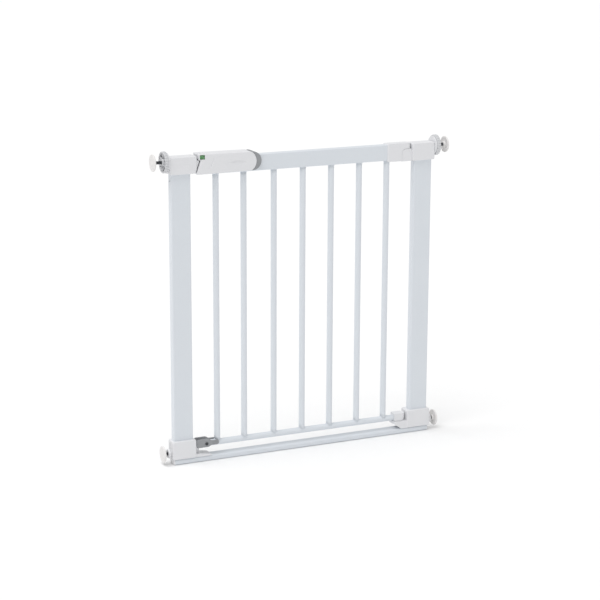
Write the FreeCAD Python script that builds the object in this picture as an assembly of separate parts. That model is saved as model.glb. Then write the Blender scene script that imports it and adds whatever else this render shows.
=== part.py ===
import FreeCAD, Part
import math
import os

# Pressure-fit stair gate with its sliding latch. Millimetres.
# +X runs from the latch side to the hinge side, +Y to the back of the gate, +Z up.
# The origin is on the floor, midway between the posts and on the gate's middle plane.

Vector = FreeCAD.Vector

# ---- driving dimensions ----------------------------------------------------------------
HALF_WIDTH = 350.0          # outer face of a post from the middle
POST_WIDE = 50.0
POST_DEEP = 20.0
POST_WALL = 1.2
POST_ROUND = 3.0
LEFT_POST_TOP = 760.3
RIGHT_POST_TOP = 754.3

THRESHOLD_HIGH = 14.0
THRESHOLD_DEEP = 31.0
THRESHOLD_ROUND = 5.0
THRESHOLD_WALL = 1.5
NOSE_LENGTH = 2.5           # the end plugs stand this far out of the threshold tube

RAIL_DEEP = 20.0
RAIL_BOTTOM = 716.5
RAIL_TOP = 756.5
RAIL_WALL = 1.2
RAIL_ROUND = 2.5
RAIL_LEFT = -252.0
RAIL_RIGHT = 257.5

BOTTOM_RAIL_RADIUS = 7.6
BOTTOM_RAIL_Z = 42.0
BOTTOM_RAIL_LEFT = -258.0
BOTTOM_RAIL_RIGHT = 256.0
BAR_RADIUS = 7.5
BAR_WALL = 1.0
BAR_CENTRES = (-232.5, -160.0, -80.0, -2.5, 74.2, 151.0, 227.4)

HOUSING_HALF_DEEP = 17.5
HOUSING_WALL = 2.5
HOUSING_ROUND = 3.0
KEEPER_LEFT, KEEPER_RIGHT = -355.0, -286.5
KEEPER_BOTTOM, KEEPER_TOP = 721.5, 763.0
HINGE_BOX_LEFT, HINGE_BOX_RIGHT = 292.2, 355.0
HINGE_BOX_BOTTOM, HINGE_BOX_TOP = 713.0, 757.0
FOOT_BOX_OUTER = 355.0      # both foot housings end here, measured outwards
LEFT_FOOT_INNER = -294.7
RIGHT_FOOT_INNER = 290.5
FOOT_BOX_TOP = 60.0

HINGE_X = 278.0             # the door's axis is the vertical line through (HINGE_X, 0)
HINGE_PIN_RADIUS = 4.0
RUNNING_FIT = 0.05          # radial clearance of a pin or rod that turns or slides
KNUCKLE_RADIUS = 19.0
KNUCKLE_HALF_DEEP = 13.3
KNUCKLE_TOP = 744.5
KNUCKLE_SHOULDER = 9.0      # rounding of the knuckle's upper edge
KNUCKLE_GAP = 0.6
LOBE_RADIUS = 13.5
HINGE_COVER_LEFT = 224.0
HINGE_COVER_BOTTOM, HINGE_COVER_TOP = 714.0, 758.5
HINGE_COVER_HALF_DEEP = 13.5

CRADLE_LEFT = 254.0
CRADLE_TOP = 33.6
CRADLE_HALF_DEEP = 16.0
CAP_LEFT, CAP_HALF_DEEP = 256.0, 11.0
CAP_BOTTOM, CAP_TOP = 34.3, 54.5
CAP_CORNER = 15.0

LIFT = 7.5                  # the door lifts this far to clear the foot tongue
SLIDE = 11.5                # the bolt draws back this far

# The gap between keeper and handle leans: both faces follow X = base + LEAN * (Z - RAIL_BOTTOM).
LEAN = 0.347
HANDLE_BASE = -288.9
GAP = 3.0
HANDLE_HALF_DEEP = 20.0
HANDLE_WALL = 2.2
HANDLE_BOTTOM, HANDLE_TOP = 718.5, 767.0
HANDLE_ROUND = 3.0
HANDLE_CORNER = 2.0
HANDLE_END_TOP = (-147.0, 765.8)
HANDLE_END_TIP = (-132.8, 743.5)
HANDLE_END_BOTTOM = (-146.0, 719.5)
WINDOW_LEFT, WINDOW_RIGHT = -280.0, -267.0
WINDOW_BOTTOM, WINDOW_TOP = 754.6, 765.4
SHUTTER_BOTTOM, SHUTTER_TOP = 755.4, 764.4
NOSE_LEFT, NOSE_RIGHT, NOSE_BOTTOM = -282.0, -262.0, 752.8

BOLT_BOTTOM, BOLT_TOP, BOLT_HALF_DEEP = 738.0, 750.0, 5.5
BOLT_REACH = 8.0            # how far the bolt stands in the keeper
BOLT_BACK = -256.0
PLATE_HALF_THICK = 1.5
PLATE_BOTTOM, PLATE_TOP = 739.5, 748.5
PLATE_RIGHT = -144.0
BUTTON_PIN_X, BUTTON_PIN_Z, BUTTON_PIN_RADIUS = -150.0, 744.0, 2.0
BUTTON_HALF_DEEP = 19.0
BUTTON_TOP = (-146.0, 764.9)
BUTTON_TIP = (-119.7, 742.6)
BUTTON_BOTTOM = (-143.5, 719.6)
SPRING_LEFT, SPRING_RIGHT = -255.6, -215.4
SPRING_RADIUS, SPRING_WIRE, SPRING_TURNS = 7.0, 0.6, 9

LEVER_X, LEVER_Z = -265.5, 44.0
LEVER_PIN_RADIUS = 2.5
LEVER_INNER, LEVER_OUTER = 8.4, 12.8
TONGUE_RIGHT, TONGUE_TOP, TONGUE_HALF_DEEP = -283.5, 39.5, 5.0
RAMP_RIGHT = -254.0

ROD_RADIUS = 4.0
ROD_LENGTH = 70.0
TOP_PAD_FACE, FOOT_PAD_FACE = 394.0, 378.0
PAD_RADIUS, PAD_THICK = 20.5, 4.3
BOSS_RADIUS, BOSS_LENGTH = 7.0, 4.0
WHEEL_RADIUS, WHEEL_NEAR, WHEEL_FAR = 26.0, 359.3, 368.3
WHEEL_RIM, WHEEL_NOTCHES = 4.5, 24
SEAT_RADIUS, SEAT_THICK = 22.0, 3.5
NUT_RADIUS, NUT_NEAR, NUT_FAR = 11.0, 357.3, 364.3
SCREW_RADIUS, SCREW_HEAD_RADIUS, SCREW_HEAD = 1.75, 3.4, 2.2


# ---- small helpers ---------------------------------------------------------------------
def block(x0, x1, y0, y1, z0, z1):
    return Part.makeBox(x1 - x0, y1 - y0, z1 - z0, Vector(x0, y0, z0))


def upright(radius, x, z0, z1):
    """Vertical cylinder on the line (x, 0)."""
    return Part.makeCylinder(radius, z1 - z0, Vector(x, 0, z0))


def across(radius, x, z, y0, y1):
    """Cylinder along Y."""
    return Part.makeCylinder(radius, y1 - y0, Vector(x, y0, z), Vector(0, 1, 0))


def along(radius, x0, x1, z):
    """Cylinder along X, centred on Y = 0."""
    return Part.makeCylinder(radius, abs(x1 - x0), Vector(min(x0, x1), 0, z), Vector(1, 0, 0))


def rounded(shape, radius, chosen):
    """Fillet the edges that the test picks."""
    return shape.makeFillet(radius, [edge for edge in shape.Edges if chosen(edge)])


def runs_along(axis):
    """Test for straight edges that run along the unit vector."""
    def test(edge):
        span = edge.Vertexes[-1].Point - edge.Vertexes[0].Point
        return len(edge.Vertexes) == 2 and span.Length > 0 and span.cross(axis).Length < 1e-6
    return test


def soft_box(x0, x1, half_deep, z0, z1, radius):
    """Box with every edge rounded, centred on the middle plane."""
    box = block(x0, x1, -half_deep, half_deep, z0, z1)
    return box.makeFillet(radius, box.Edges)


def tube(x0, x1, half_deep, z0, z1, wall, radius, axis):
    """Rectangular tube along the axis with rounded corners."""
    inner_radius = max(radius - wall, 0.5)
    along_x = axis == Vector(1, 0, 0)
    grow_x, grow_z = (1.0, -wall) if along_x else (-wall, 1.0)
    outer = rounded(block(x0, x1, -half_deep, half_deep, z0, z1), radius, runs_along(axis))
    inner = block(x0 - grow_x, x1 + grow_x, wall - half_deep, half_deep - wall, z0 - grow_z, z1 + grow_z)
    return outer.cut(rounded(inner, inner_radius, runs_along(axis)))


def prism(points, half_deep):
    """Straight-sided outline in the XZ plane, as deep as the middle plane plus and minus half_deep."""
    corners = [Vector(x, -half_deep, z) for x, z in points]
    face = Part.Face(Part.makePolygon(corners + corners[:1]))
    return face.extrude(Vector(0, 2 * half_deep, 0))


def arc(start, middle, end, y):
    return Part.Arc(Vector(start[0], y, start[1]), Vector(middle[0], y, middle[1]),
                    Vector(end[0], y, end[1])).toShape()


def line(start, end, y):
    return Part.makeLine(Vector(start[0], y, start[1]), Vector(end[0], y, end[1]))


def filled(edges, depth):
    """Face bounded by the edges, carried along +Y."""
    return Part.Face(Part.Wire(edges)).extrude(Vector(0, depth, 0))


def front_half(shape):
    return shape.common(block(-500, 500, -100, 0, -10, 1000))


def rear_half(shape):
    return shape.common(block(-500, 500, 0, 100, -10, 1000))


def mirrored(shape):
    """The same piece on the other side of the gate."""
    return shape.mirror(Vector(0, 0, 0), Vector(1, 0, 0))


def group(solids):
    return Part.makeCompound(solids)


def screw(x, z, y_tip, y_head):
    """Pan-head screw along Y with its head at y_head, on the back."""
    shank = across(SCREW_RADIUS, x, z, y_tip, y_head)
    head = across(SCREW_HEAD_RADIUS, x, z, y_head, y_head + SCREW_HEAD)
    recess = across(1.2, x, z, y_head + SCREW_HEAD - 1.2, y_head + SCREW_HEAD + 1)
    return shank.fuse(head).cut(recess)


def screw_space(x, z, y_tip, y_head):
    """The room a screw takes out of the pieces round it."""
    shank = across(SCREW_RADIUS + 0.02, x, z, y_tip - 0.2, y_head)
    return shank.fuse(across(SCREW_HEAD_RADIUS + 0.2, x, z, y_head, y_head + 20))


def gap_line(base, z):
    """X of a leaning face at height z."""
    return base + LEAN * (z - RAIL_BOTTOM)


# ---- frame -----------------------------------------------------------------------------
TOP_LEFT_SPINDLE_Z, TOP_RIGHT_SPINDLE_Z, FOOT_SPINDLE_Z = 751.0, 747.0, 28.0
KEEPER_SCREWS = ((-325.0, 735.0), (-294.5, 729.0))
GUIDE_HALF_HIGH = 7.0
HINGE_SCREWS = ((325.0, 729.0), (306.0, 748.0))
FOOT_SCREWS = ((325.0, 46.0), (312.0, 19.5))
HOUSING_SCREW_TIP, HOUSING_SCREW_HEAD = -16.0, 15.2


def post(top, top_spindle):
    """Rectangular steel tube. The right one is modelled, with holes for its two spindles."""
    body = tube(HALF_WIDTH - POST_WIDE, HALF_WIDTH, POST_DEEP / 2, THRESHOLD_HIGH, top,
                POST_WALL, POST_ROUND, Vector(0, 0, 1))
    for z in (top_spindle, FOOT_SPINDLE_Z):
        body = body.cut(along(ROD_RADIUS + 1.6, HALF_WIDTH - 5, HALF_WIDTH + 5, z))
    snap_hole = along(2.0, HALF_WIDTH - 5, HALF_WIDTH + 5, HINGE_BOX_BOTTOM - 8)
    return body.cut(snap_hole)


def with_screw_holes(shape, places):
    for x, z in places:
        shape = shape.cut(across(SCREW_RADIUS + 0.1, x, z, -40, 40))
    return shape


def left_post():
    return with_screw_holes(mirrored(post(LEFT_POST_TOP, TOP_LEFT_SPINDLE_Z)),
                            KEEPER_SCREWS[:1] + mirrored_places(FOOT_SCREWS))


def right_post():
    return with_screw_holes(post(RIGHT_POST_TOP, TOP_RIGHT_SPINDLE_Z), HINGE_SCREWS + FOOT_SCREWS)


def mirrored_places(places):
    return tuple((-x, z) for x, z in places)


def threshold_bar():
    return tube(-HALF_WIDTH, HALF_WIDTH, THRESHOLD_DEEP / 2, 0, THRESHOLD_HIGH,
                THRESHOLD_WALL, THRESHOLD_ROUND, Vector(1, 0, 0))


def threshold_plugs():
    """Plugs with a rounded nose that close the threshold tube."""
    wall = THRESHOLD_WALL + 0.1
    half = THRESHOLD_DEEP / 2
    nose = block(HALF_WIDTH, HALF_WIDTH + NOSE_LENGTH, -half, half, 0, THRESHOLD_HIGH)
    nose = rounded(nose, THRESHOLD_ROUND, runs_along(Vector(1, 0, 0)))
    outer = [e for e in nose.Edges if e.BoundBox.XMin > HALF_WIDTH + NOSE_LENGTH - 0.01]
    nose = nose.makeFillet(NOSE_LENGTH * 0.8, outer)
    shank = block(HALF_WIDTH - 12, HALF_WIDTH, wall - half, half - wall, wall, THRESHOLD_HIGH - wall)
    shank = rounded(shank, THRESHOLD_ROUND - THRESHOLD_WALL, runs_along(Vector(1, 0, 0)))
    plug = nose.fuse(shank)
    return group([plug, mirrored(plug)])


def housing(x0, x1, z0, z1, post_top, open_bottom):
    """Hollow clam round a post; the post leaves through its bottom, or through its top."""
    side = -1 if x0 < 0 else 1
    post_x0, post_x1 = sorted((side * (HALF_WIDTH - POST_WIDE), side * HALF_WIDTH))
    outer = soft_box(x0, x1, HOUSING_HALF_DEEP, z0, z1, HOUSING_ROUND)
    wall = HOUSING_WALL
    depth = HOUSING_HALF_DEEP - wall
    body = outer.cut(block(x0 + wall, x1 - wall, -depth, depth, z0 + wall, z1 - wall))
    passage_z = (z0 - 5, post_top) if open_bottom else (z0 - 5, z1 + 5)
    play = 0.1
    return body.cut(block(post_x0 - play, post_x1 + play, -POST_DEEP / 2 - play, POST_DEEP / 2 + play, *passage_z))


def bosses(places):
    """Screw bosses between a housing's wall and the faces of its post."""
    reach = HOUSING_HALF_DEEP - 1
    return [across(4.0, x, z, start, start + reach - POST_DEEP / 2 - 0.1)
            for x, z in places for start in (-reach, POST_DEEP / 2 + 0.1)]


def keeper_housing():
    body = housing(KEEPER_LEFT, KEEPER_RIGHT, KEEPER_BOTTOM, KEEPER_TOP, LEFT_POST_TOP, True)
    body = body.fuse(bosses(KEEPER_SCREWS[:1]))
    inset = block(-299.6, KEEPER_RIGHT + 1, 0.1 - HOUSING_HALF_DEEP + HOUSING_WALL,
                  HOUSING_HALF_DEEP - HOUSING_WALL - 0.1, KEEPER_BOTTOM - 1, KEEPER_TOP - HOUSING_WALL)
    lean = prism([(gap_line(HANDLE_BASE - GAP, z), z) for z in (700, 790)] + [(-200, 790), (-200, 700)], 40)
    body = body.cut(inset).cut(lean)
    body = body.cut(along(ROD_RADIUS + 1.6, -360, -345, TOP_LEFT_SPINDLE_Z))
    for x, z in KEEPER_SCREWS:
        body = body.cut(screw_space(x, z, HOUSING_SCREW_TIP, HOUSING_SCREW_HEAD))
    return body


def keeper_strike():
    """Fixed insert between the shells, with the upright slot that the bolt stands in."""
    depth = HOUSING_HALF_DEEP - HOUSING_WALL - 0.15
    base = HANDLE_BASE - GAP
    ceiling = KEEPER_TOP - HOUSING_WALL - 0.1
    ledge = NOSE_BOTTOM - 1.0
    outline = [(-299.5, KEEPER_BOTTOM), (gap_line(base, KEEPER_BOTTOM), KEEPER_BOTTOM),
               (gap_line(base, ledge), ledge), (-288.0, ledge), (-288.0, ceiling), (-299.5, ceiling)]
    slot = block(-297.5, -250, -BOLT_HALF_DEEP - 0.6, BOLT_HALF_DEEP + 0.6,
                 BOLT_BOTTOM - 0.6, BOLT_TOP + LIFT + 0.6)
    body = prism(outline, depth).cut(slot)
    x, z = KEEPER_SCREWS[1]
    return body.cut(screw_space(x, z, HOUSING_SCREW_TIP, HOUSING_SCREW_HEAD))


def hinge_housing():
    body = housing(HINGE_BOX_LEFT, HINGE_BOX_RIGHT, HINGE_BOX_BOTTOM, HINGE_BOX_TOP, RIGHT_POST_TOP, True)
    body = body.fuse(bosses(HINGE_SCREWS))
    body = body.cut(block(280, 300, -KNUCKLE_HALF_DEEP - 0.05, KNUCKLE_HALF_DEEP + 0.05,
                          HINGE_BOX_BOTTOM - 1, KNUCKLE_TOP + 0.05))
    body = body.cut(along(ROD_RADIUS + 1.6, 345, 360, TOP_RIGHT_SPINDLE_Z))
    for x, z in HINGE_SCREWS:
        body = body.cut(screw_space(x, z, HOUSING_SCREW_TIP, HOUSING_SCREW_HEAD))
    return body


def turned_knuckle(gap):
    """Body of revolution about the door's axis: a drum with a rounded upper edge, grown by gap."""
    radius = KNUCKLE_RADIUS + gap
    top = KNUCKLE_TOP + gap
    shoulder = KNUCKLE_SHOULDER
    drum = upright(radius, HINGE_X, HINGE_BOX_BOTTOM - (5 if gap else 0), top)
    upper = [e for e in drum.Edges if e.BoundBox.ZMin > top - 0.01]
    return drum.makeFillet(shoulder, upper)


def upper_hinge_knuckle():
    """Frame's knuckle: flat cheeks, a turned shoulder that the door's cover rides round, and a root."""
    slab = block(240, HINGE_BOX_LEFT, -KNUCKLE_HALF_DEEP, KNUCKLE_HALF_DEEP, 700, 760)
    arm = block(HINGE_BOX_LEFT - 0.3, 299.7, -KNUCKLE_HALF_DEEP, KNUCKLE_HALF_DEEP,
                HINGE_BOX_BOTTOM, KNUCKLE_TOP - 0.4)
    body = turned_knuckle(0).common(slab).fuse(arm).removeSplitter()
    return body.cut(upright(HINGE_PIN_RADIUS + RUNNING_FIT, HINGE_X, HINGE_BOX_BOTTOM + 3, 770))


def foot_housing(x0, x1):
    """Clam round the foot of a post, standing on the threshold."""
    side = -1 if x0 < 0 else 1
    places = FOOT_SCREWS if side > 0 else mirrored_places(FOOT_SCREWS)
    body = housing(x0, x1, THRESHOLD_HIGH, FOOT_BOX_TOP, FOOT_BOX_TOP + 5, False)
    body = body.fuse(bosses(places))
    body = body.cut(along(ROD_RADIUS + 1.6, side * 345, side * 360, FOOT_SPINDLE_Z))
    for x, z in places:
        body = body.cut(screw_space(x, z, HOUSING_SCREW_TIP, HOUSING_SCREW_HEAD))
    return body


def right_foot_housing():
    body = foot_housing(RIGHT_FOOT_INNER, FOOT_BOX_OUTER)
    return body.cut(block(280, 300, -CRADLE_HALF_DEEP - 0.05, CRADLE_HALF_DEEP + 0.05, 10, CRADLE_TOP + 0.05))


def left_foot_housing():
    body = foot_housing(-FOOT_BOX_OUTER, LEFT_FOOT_INNER)
    return body.cut(block(-300, -290, -TONGUE_HALF_DEEP - 0.05, TONGUE_HALF_DEEP + 0.05, 10, TONGUE_TOP + 0.05))


def closing_ramp():
    """Tongue that the stop levers straddle, with the ramp that lifts the closing door onto it."""
    tongue = block(-299.7, TONGUE_RIGHT, -TONGUE_HALF_DEEP, TONGUE_HALF_DEEP, THRESHOLD_HIGH, TONGUE_TOP)
    tongue = rounded(tongue, 2.0, lambda e: e.BoundBox.XMin > TONGUE_RIGHT - 0.01 and e.BoundBox.ZMin > TONGUE_TOP - 0.01)
    wedge = [(LEFT_FOOT_INNER, THRESHOLD_HIGH), (LEFT_FOOT_INNER, 22.0), (TONGUE_RIGHT, 21.5),
             (RAMP_RIGHT, 17.0), (RAMP_RIGHT + 1.5, THRESHOLD_HIGH)]
    return tongue.fuse(prism(wedge, CRADLE_HALF_DEEP)).removeSplitter()


def lower_hinge_cradle():
    """Bracket under the door's lower hinge cap, with the bore for the lower pin."""
    outline = [(CRADLE_LEFT, 27.0), (CRADLE_LEFT, CRADLE_TOP), (299.7, CRADLE_TOP),
               (299.7, THRESHOLD_HIGH), (274.0, THRESHOLD_HIGH)]
    body = prism(outline, CRADLE_HALF_DEEP)
    body = rounded(body, 4.0, lambda e: runs_along(Vector(0, 0, 1))(e) and e.BoundBox.XMax < CRADLE_LEFT + 1)
    return body.cut(upright(HINGE_PIN_RADIUS + RUNNING_FIT, HINGE_X, THRESHOLD_HIGH + 3, 40))


def frame_screws():
    """Housing screws, all of one kind."""
    places = KEEPER_SCREWS + HINGE_SCREWS + FOOT_SCREWS + mirrored_places(FOOT_SCREWS)
    return group([screw(x, z, HOUSING_SCREW_TIP, HOUSING_SCREW_HEAD) for x, z in places])


def guide(seat_radius, z):
    """Bush inside a post that guides a spindle, with its seat flange outside the housing."""
    sleeve = along(ROD_RADIUS + 1.5, 332, 355.2, z)
    foot = rounded(block(332, 348.7, -8.7, 8.7, z - GUIDE_HALF_HIGH, z + GUIDE_HALF_HIGH), 2.0, runs_along(Vector(0, 0, 1)))
    body = foot.fuse(sleeve)
    seat = along(seat_radius, 355.2, 355.2 + SEAT_THICK if seat_radius > 15 else 357.0, z)
    body = body.fuse(seat)
    return body.cut(along(ROD_RADIUS + RUNNING_FIT, 320, 370, z)).removeSplitter()


def spindle_guides():
    return group([mirrored(guide(SEAT_RADIUS, TOP_LEFT_SPINDLE_Z)), guide(SEAT_RADIUS, TOP_RIGHT_SPINDLE_Z),
                  mirrored(guide(NUT_RADIUS, FOOT_SPINDLE_Z)), guide(NUT_RADIUS, FOOT_SPINDLE_Z)])


# ---- door ------------------------------------------------------------------------------
HINGE_COVER_SCREWS = ((234.0, 727.0), (248.0, 751.0))
HINGE_COVER_SCREW_ENDS = (-12.3, 11.2)
HANDLE_SCREWS = ((-222.0, 727.0), (-178.0, 727.0), (-266.0, 727.0))
HANDLE_SCREW_ENDS = (-17.0, 17.2)
HANDLE_BOSS_RADIUS = 4.6


def top_rail():
    body = tube(RAIL_LEFT, RAIL_RIGHT, RAIL_DEEP / 2, RAIL_BOTTOM, RAIL_TOP, RAIL_WALL, RAIL_ROUND, Vector(1, 0, 0))
    play = BUTTON_PIN_RADIUS + 0.5
    slot = block(BUTTON_PIN_X, BUTTON_PIN_X + SLIDE, -20, 20, BUTTON_PIN_Z - play, BUTTON_PIN_Z + play)
    for x in (BUTTON_PIN_X, BUTTON_PIN_X + SLIDE):
        slot = slot.fuse(across(play, x, BUTTON_PIN_Z, -20, 20))
    return with_screw_holes(body.cut(slot), HINGE_COVER_SCREWS + HANDLE_SCREWS[:2])


def bottom_rail():
    outer = along(BOTTOM_RAIL_RADIUS, BOTTOM_RAIL_LEFT, BOTTOM_RAIL_RIGHT, BOTTOM_RAIL_Z)
    return outer.cut(along(BOTTOM_RAIL_RADIUS - BAR_WALL, BOTTOM_RAIL_LEFT - 1, BOTTOM_RAIL_RIGHT + 1, BOTTOM_RAIL_Z))


def bar(x):
    """Round bar, coped over the bottom rail and butted to the top rail."""
    outer = upright(BAR_RADIUS, x, BOTTOM_RAIL_Z, RAIL_BOTTOM)
    inner = upright(BAR_RADIUS - BAR_WALL, x, BOTTOM_RAIL_Z - 1, RAIL_BOTTOM + 1)
    cope = along(BOTTOM_RAIL_RADIUS, x - 20, x + 20, BOTTOM_RAIL_Z)
    return outer.cut(inner).cut(cope)


def hinge_cover():
    """Cover over the rail's end, with the lobe that stands on the frame's knuckle."""
    half = HINGE_COVER_HALF_DEEP
    body = block(HINGE_COVER_LEFT, HINGE_X, -half, half, HINGE_COVER_BOTTOM, HINGE_COVER_TOP)
    body = rounded(body, 2.5, lambda e: e.BoundBox.XMax < HINGE_COVER_LEFT + 0.01)
    lobe = upright(LOBE_RADIUS, HINGE_X, HINGE_COVER_BOTTOM, HINGE_COVER_TOP)
    body = body.fuse(lobe).removeSplitter().cut(turned_knuckle(KNUCKLE_GAP))
    play = 0.05
    body = body.cut(block(HINGE_COVER_LEFT - 5, RAIL_RIGHT + play, -RAIL_DEEP / 2 - play, RAIL_DEEP / 2 + play,
                          RAIL_BOTTOM - play, RAIL_TOP + play))
    body = body.cut(upright(HINGE_PIN_RADIUS + RUNNING_FIT, HINGE_X, 740, HINGE_COVER_TOP - 2.2))
    for x, z in HINGE_COVER_SCREWS:
        body = body.cut(screw_space(x, z, *HINGE_COVER_SCREW_ENDS))
    return body.cut(upright(BAR_RADIUS + play, BAR_CENTRES[-1], HINGE_COVER_BOTTOM - 5, RAIL_BOTTOM))


def lower_hinge_cap():
    """Plug and shoe at the bottom rail's hinge end, bored for the lower pin."""
    right = HINGE_X + CAP_HALF_DEEP
    corner = CAP_CORNER
    knee = corner * (1 - math.sqrt(0.5))
    half = CAP_HALF_DEEP
    edges = [line((CAP_LEFT, CAP_BOTTOM), (right - corner, CAP_BOTTOM), -half),
             arc((right - corner, CAP_BOTTOM), (right - knee, CAP_BOTTOM + knee), (right, CAP_BOTTOM + corner), -half),
             line((right, CAP_BOTTOM + corner), (right, CAP_TOP), -half),
             line((right, CAP_TOP), (CAP_LEFT, CAP_TOP), -half),
             line((CAP_LEFT, CAP_TOP), (CAP_LEFT, CAP_BOTTOM), -half)]
    side_view = filled(edges, 2 * half)
    plan = block(CAP_LEFT, HINGE_X, -half, half, 0, 100).fuse(upright(half, HINGE_X, 0, 100))
    body = side_view.common(plan).removeSplitter()
    body = rounded(body, 2.0, lambda e: e.BoundBox.ZMin > CAP_TOP - 0.01)
    plug = along(BOTTOM_RAIL_RADIUS - BAR_WALL - 0.05, CAP_LEFT - 14, CAP_LEFT + 1, BOTTOM_RAIL_Z)
    body = body.fuse(plug)
    return body.cut(upright(HINGE_PIN_RADIUS + RUNNING_FIT, HINGE_X, CAP_BOTTOM - 5, CAP_TOP - 3))


def rail_end_cap():
    """Plug at the bottom rail's free end, with side bosses that space the stop levers."""
    nose = along(BOTTOM_RAIL_RADIUS, -280.0, BOTTOM_RAIL_LEFT, BOTTOM_RAIL_Z)
    nose = rounded(nose, 3.0, lambda e: e.BoundBox.XMax < -279.9)
    plug = along(BOTTOM_RAIL_RADIUS - BAR_WALL - 0.05, BOTTOM_RAIL_LEFT - 1, BOTTOM_RAIL_LEFT + 12, BOTTOM_RAIL_Z)
    spacers = across(5.0, LEVER_X, LEVER_Z, -LEVER_INNER + 0.2, LEVER_INNER - 0.2)
    body = nose.fuse([plug, spacers])
    return body.cut(across(LEVER_PIN_RADIUS, LEVER_X, LEVER_Z, -20, 20))


def stop_lever_pin():
    """Rivet that both levers turn on."""
    head_y = LEVER_OUTER + 0.2
    shank = across(LEVER_PIN_RADIUS, LEVER_X, LEVER_Z, -head_y, head_y)
    heads = [across(4.0, LEVER_X, LEVER_Z, y, y + 1.0) for y in (head_y, -head_y - 1.0)]
    return shank.fuse(heads).removeSplitter()


def stop_lever():
    """Front lever: a broad head that stands beside the foot tongue, and a thumb tail."""
    head = block(-292.0, -257.0, -LEVER_OUTER, -LEVER_INNER, 35.0, 56.0)
    head = rounded(head, 8.0, runs_along(Vector(0, 1, 0)))
    tail = block(-262.0, -238.5, -LEVER_OUTER, -LEVER_INNER, 39.0, 51.0)
    tip = across(6.0, -238.5, 45.0, -LEVER_OUTER, -LEVER_INNER)
    body = head.fuse([tail, tip]).removeSplitter()
    outer = [e for e in body.Edges if e.BoundBox.YMax < -LEVER_OUTER + 0.01]
    body = body.makeFillet(1.0, outer)
    return body.cut(across(LEVER_PIN_RADIUS + RUNNING_FIT, LEVER_X, LEVER_Z, -20, 20))


# ---- latch -----------------------------------------------------------------------------
def handle_face(grow):
    """Side view of the handle without its nose, grown outwards by grow."""
    corners = [HANDLE_END_BOTTOM, (gap_line(HANDLE_BASE, HANDLE_BOTTOM), HANDLE_BOTTOM),
               (gap_line(HANDLE_BASE, HANDLE_TOP), HANDLE_TOP), HANDLE_END_TOP]
    edges = [line(a, b, 0) for a, b in zip(corners, corners[1:])]
    edges.append(arc(HANDLE_END_TOP, HANDLE_END_TIP, HANDLE_END_BOTTOM, 0))
    face = Part.Face(Part.Wire(edges))
    return face.makeOffset2D(grow) if grow else face


def deep(face, half_deep):
    """Carry a face on the middle plane to both sides."""
    face.translate(Vector(0, -half_deep, 0))
    return face.extrude(Vector(0, 2 * half_deep, 0))


def nose(shrink, radius):
    """Block over the leaning end of the handle that holds the indicator."""
    return soft_box(NOSE_LEFT + shrink, NOSE_RIGHT, HANDLE_HALF_DEEP - shrink, NOSE_BOTTOM + shrink,
                    HANDLE_TOP - shrink, radius)


def handle_shells():
    """Hollow handle round the rail's end; it is split on the middle plane afterwards."""
    body = rounded(deep(handle_face(0), HANDLE_HALF_DEEP), HANDLE_CORNER, runs_along(Vector(0, 1, 0)))
    sides = [e for e in body.Edges if e.BoundBox.YMin > HANDLE_HALF_DEEP - 0.01
             or e.BoundBox.YMax < 0.01 - HANDLE_HALF_DEEP]
    body = body.makeFillet(HANDLE_ROUND, sides).fuse(nose(0, 1.5))
    body = body.cut(deep(handle_face(-HANDLE_WALL), HANDLE_HALF_DEEP - HANDLE_WALL)).cut(nose(HANDLE_WALL, 0.5))
    inside = HANDLE_HALF_DEEP - HANDLE_WALL + 0.5
    body = body.fuse([across(HANDLE_BOSS_RADIUS, x, z, -inside, inside) for x, z in HANDLE_SCREWS])
    play = 0.1
    rail = block(RAIL_LEFT - play, -100, -RAIL_DEEP / 2 - play, RAIL_DEEP / 2 + play, 700, RAIL_TOP + play)
    sleeve = block(-172, -100, -13.2, 13.2, 724.5, 756.5)
    bolt = block(-300, -268, -BOLT_HALF_DEEP - 0.4, BOLT_HALF_DEEP + 0.4, BOLT_BOTTOM - 0.4, BOLT_TOP + 0.4)
    window = block(WINDOW_LEFT, WINDOW_RIGHT, -30, 30, WINDOW_BOTTOM, WINDOW_TOP)
    body = body.cut(rail).cut(sleeve).cut(bolt).cut(window)
    for x, z in HANDLE_SCREWS:
        body = body.cut(screw_space(x, z, *HANDLE_SCREW_ENDS))
    return body


def indicator_windows():
    """Clear panes in the handle's two sides."""
    play = 0.05
    return group([block(WINDOW_LEFT + play, WINDOW_RIGHT - play, y, y + 1.6, WINDOW_BOTTOM + play,
                        WINDOW_TOP - play) for y in (-19.8, 18.2)])


def indicator_backing():
    """Red block, bare only when the shutter is drawn back."""
    return block(WINDOW_LEFT + 0.6, WINDOW_RIGHT, -15.5, 15.5, WINDOW_BOTTOM + 1.6, WINDOW_TOP - 0.1)


def indicator_shutter():
    """Green plates behind the panes, on a crossbar that rides on the bolt."""
    crossbar = block(-272.6, -266.0, -17.4, 17.4, BOLT_TOP, SHUTTER_BOTTOM + 0.2)
    plates = [block(WINDOW_LEFT + 0.5, WINDOW_RIGHT + 0.8, y, y + 1.4, SHUTTER_BOTTOM, SHUTTER_TOP)
              for y in (-17.4, 16.0)]
    return crossbar.fuse(plates).removeSplitter()


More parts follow.
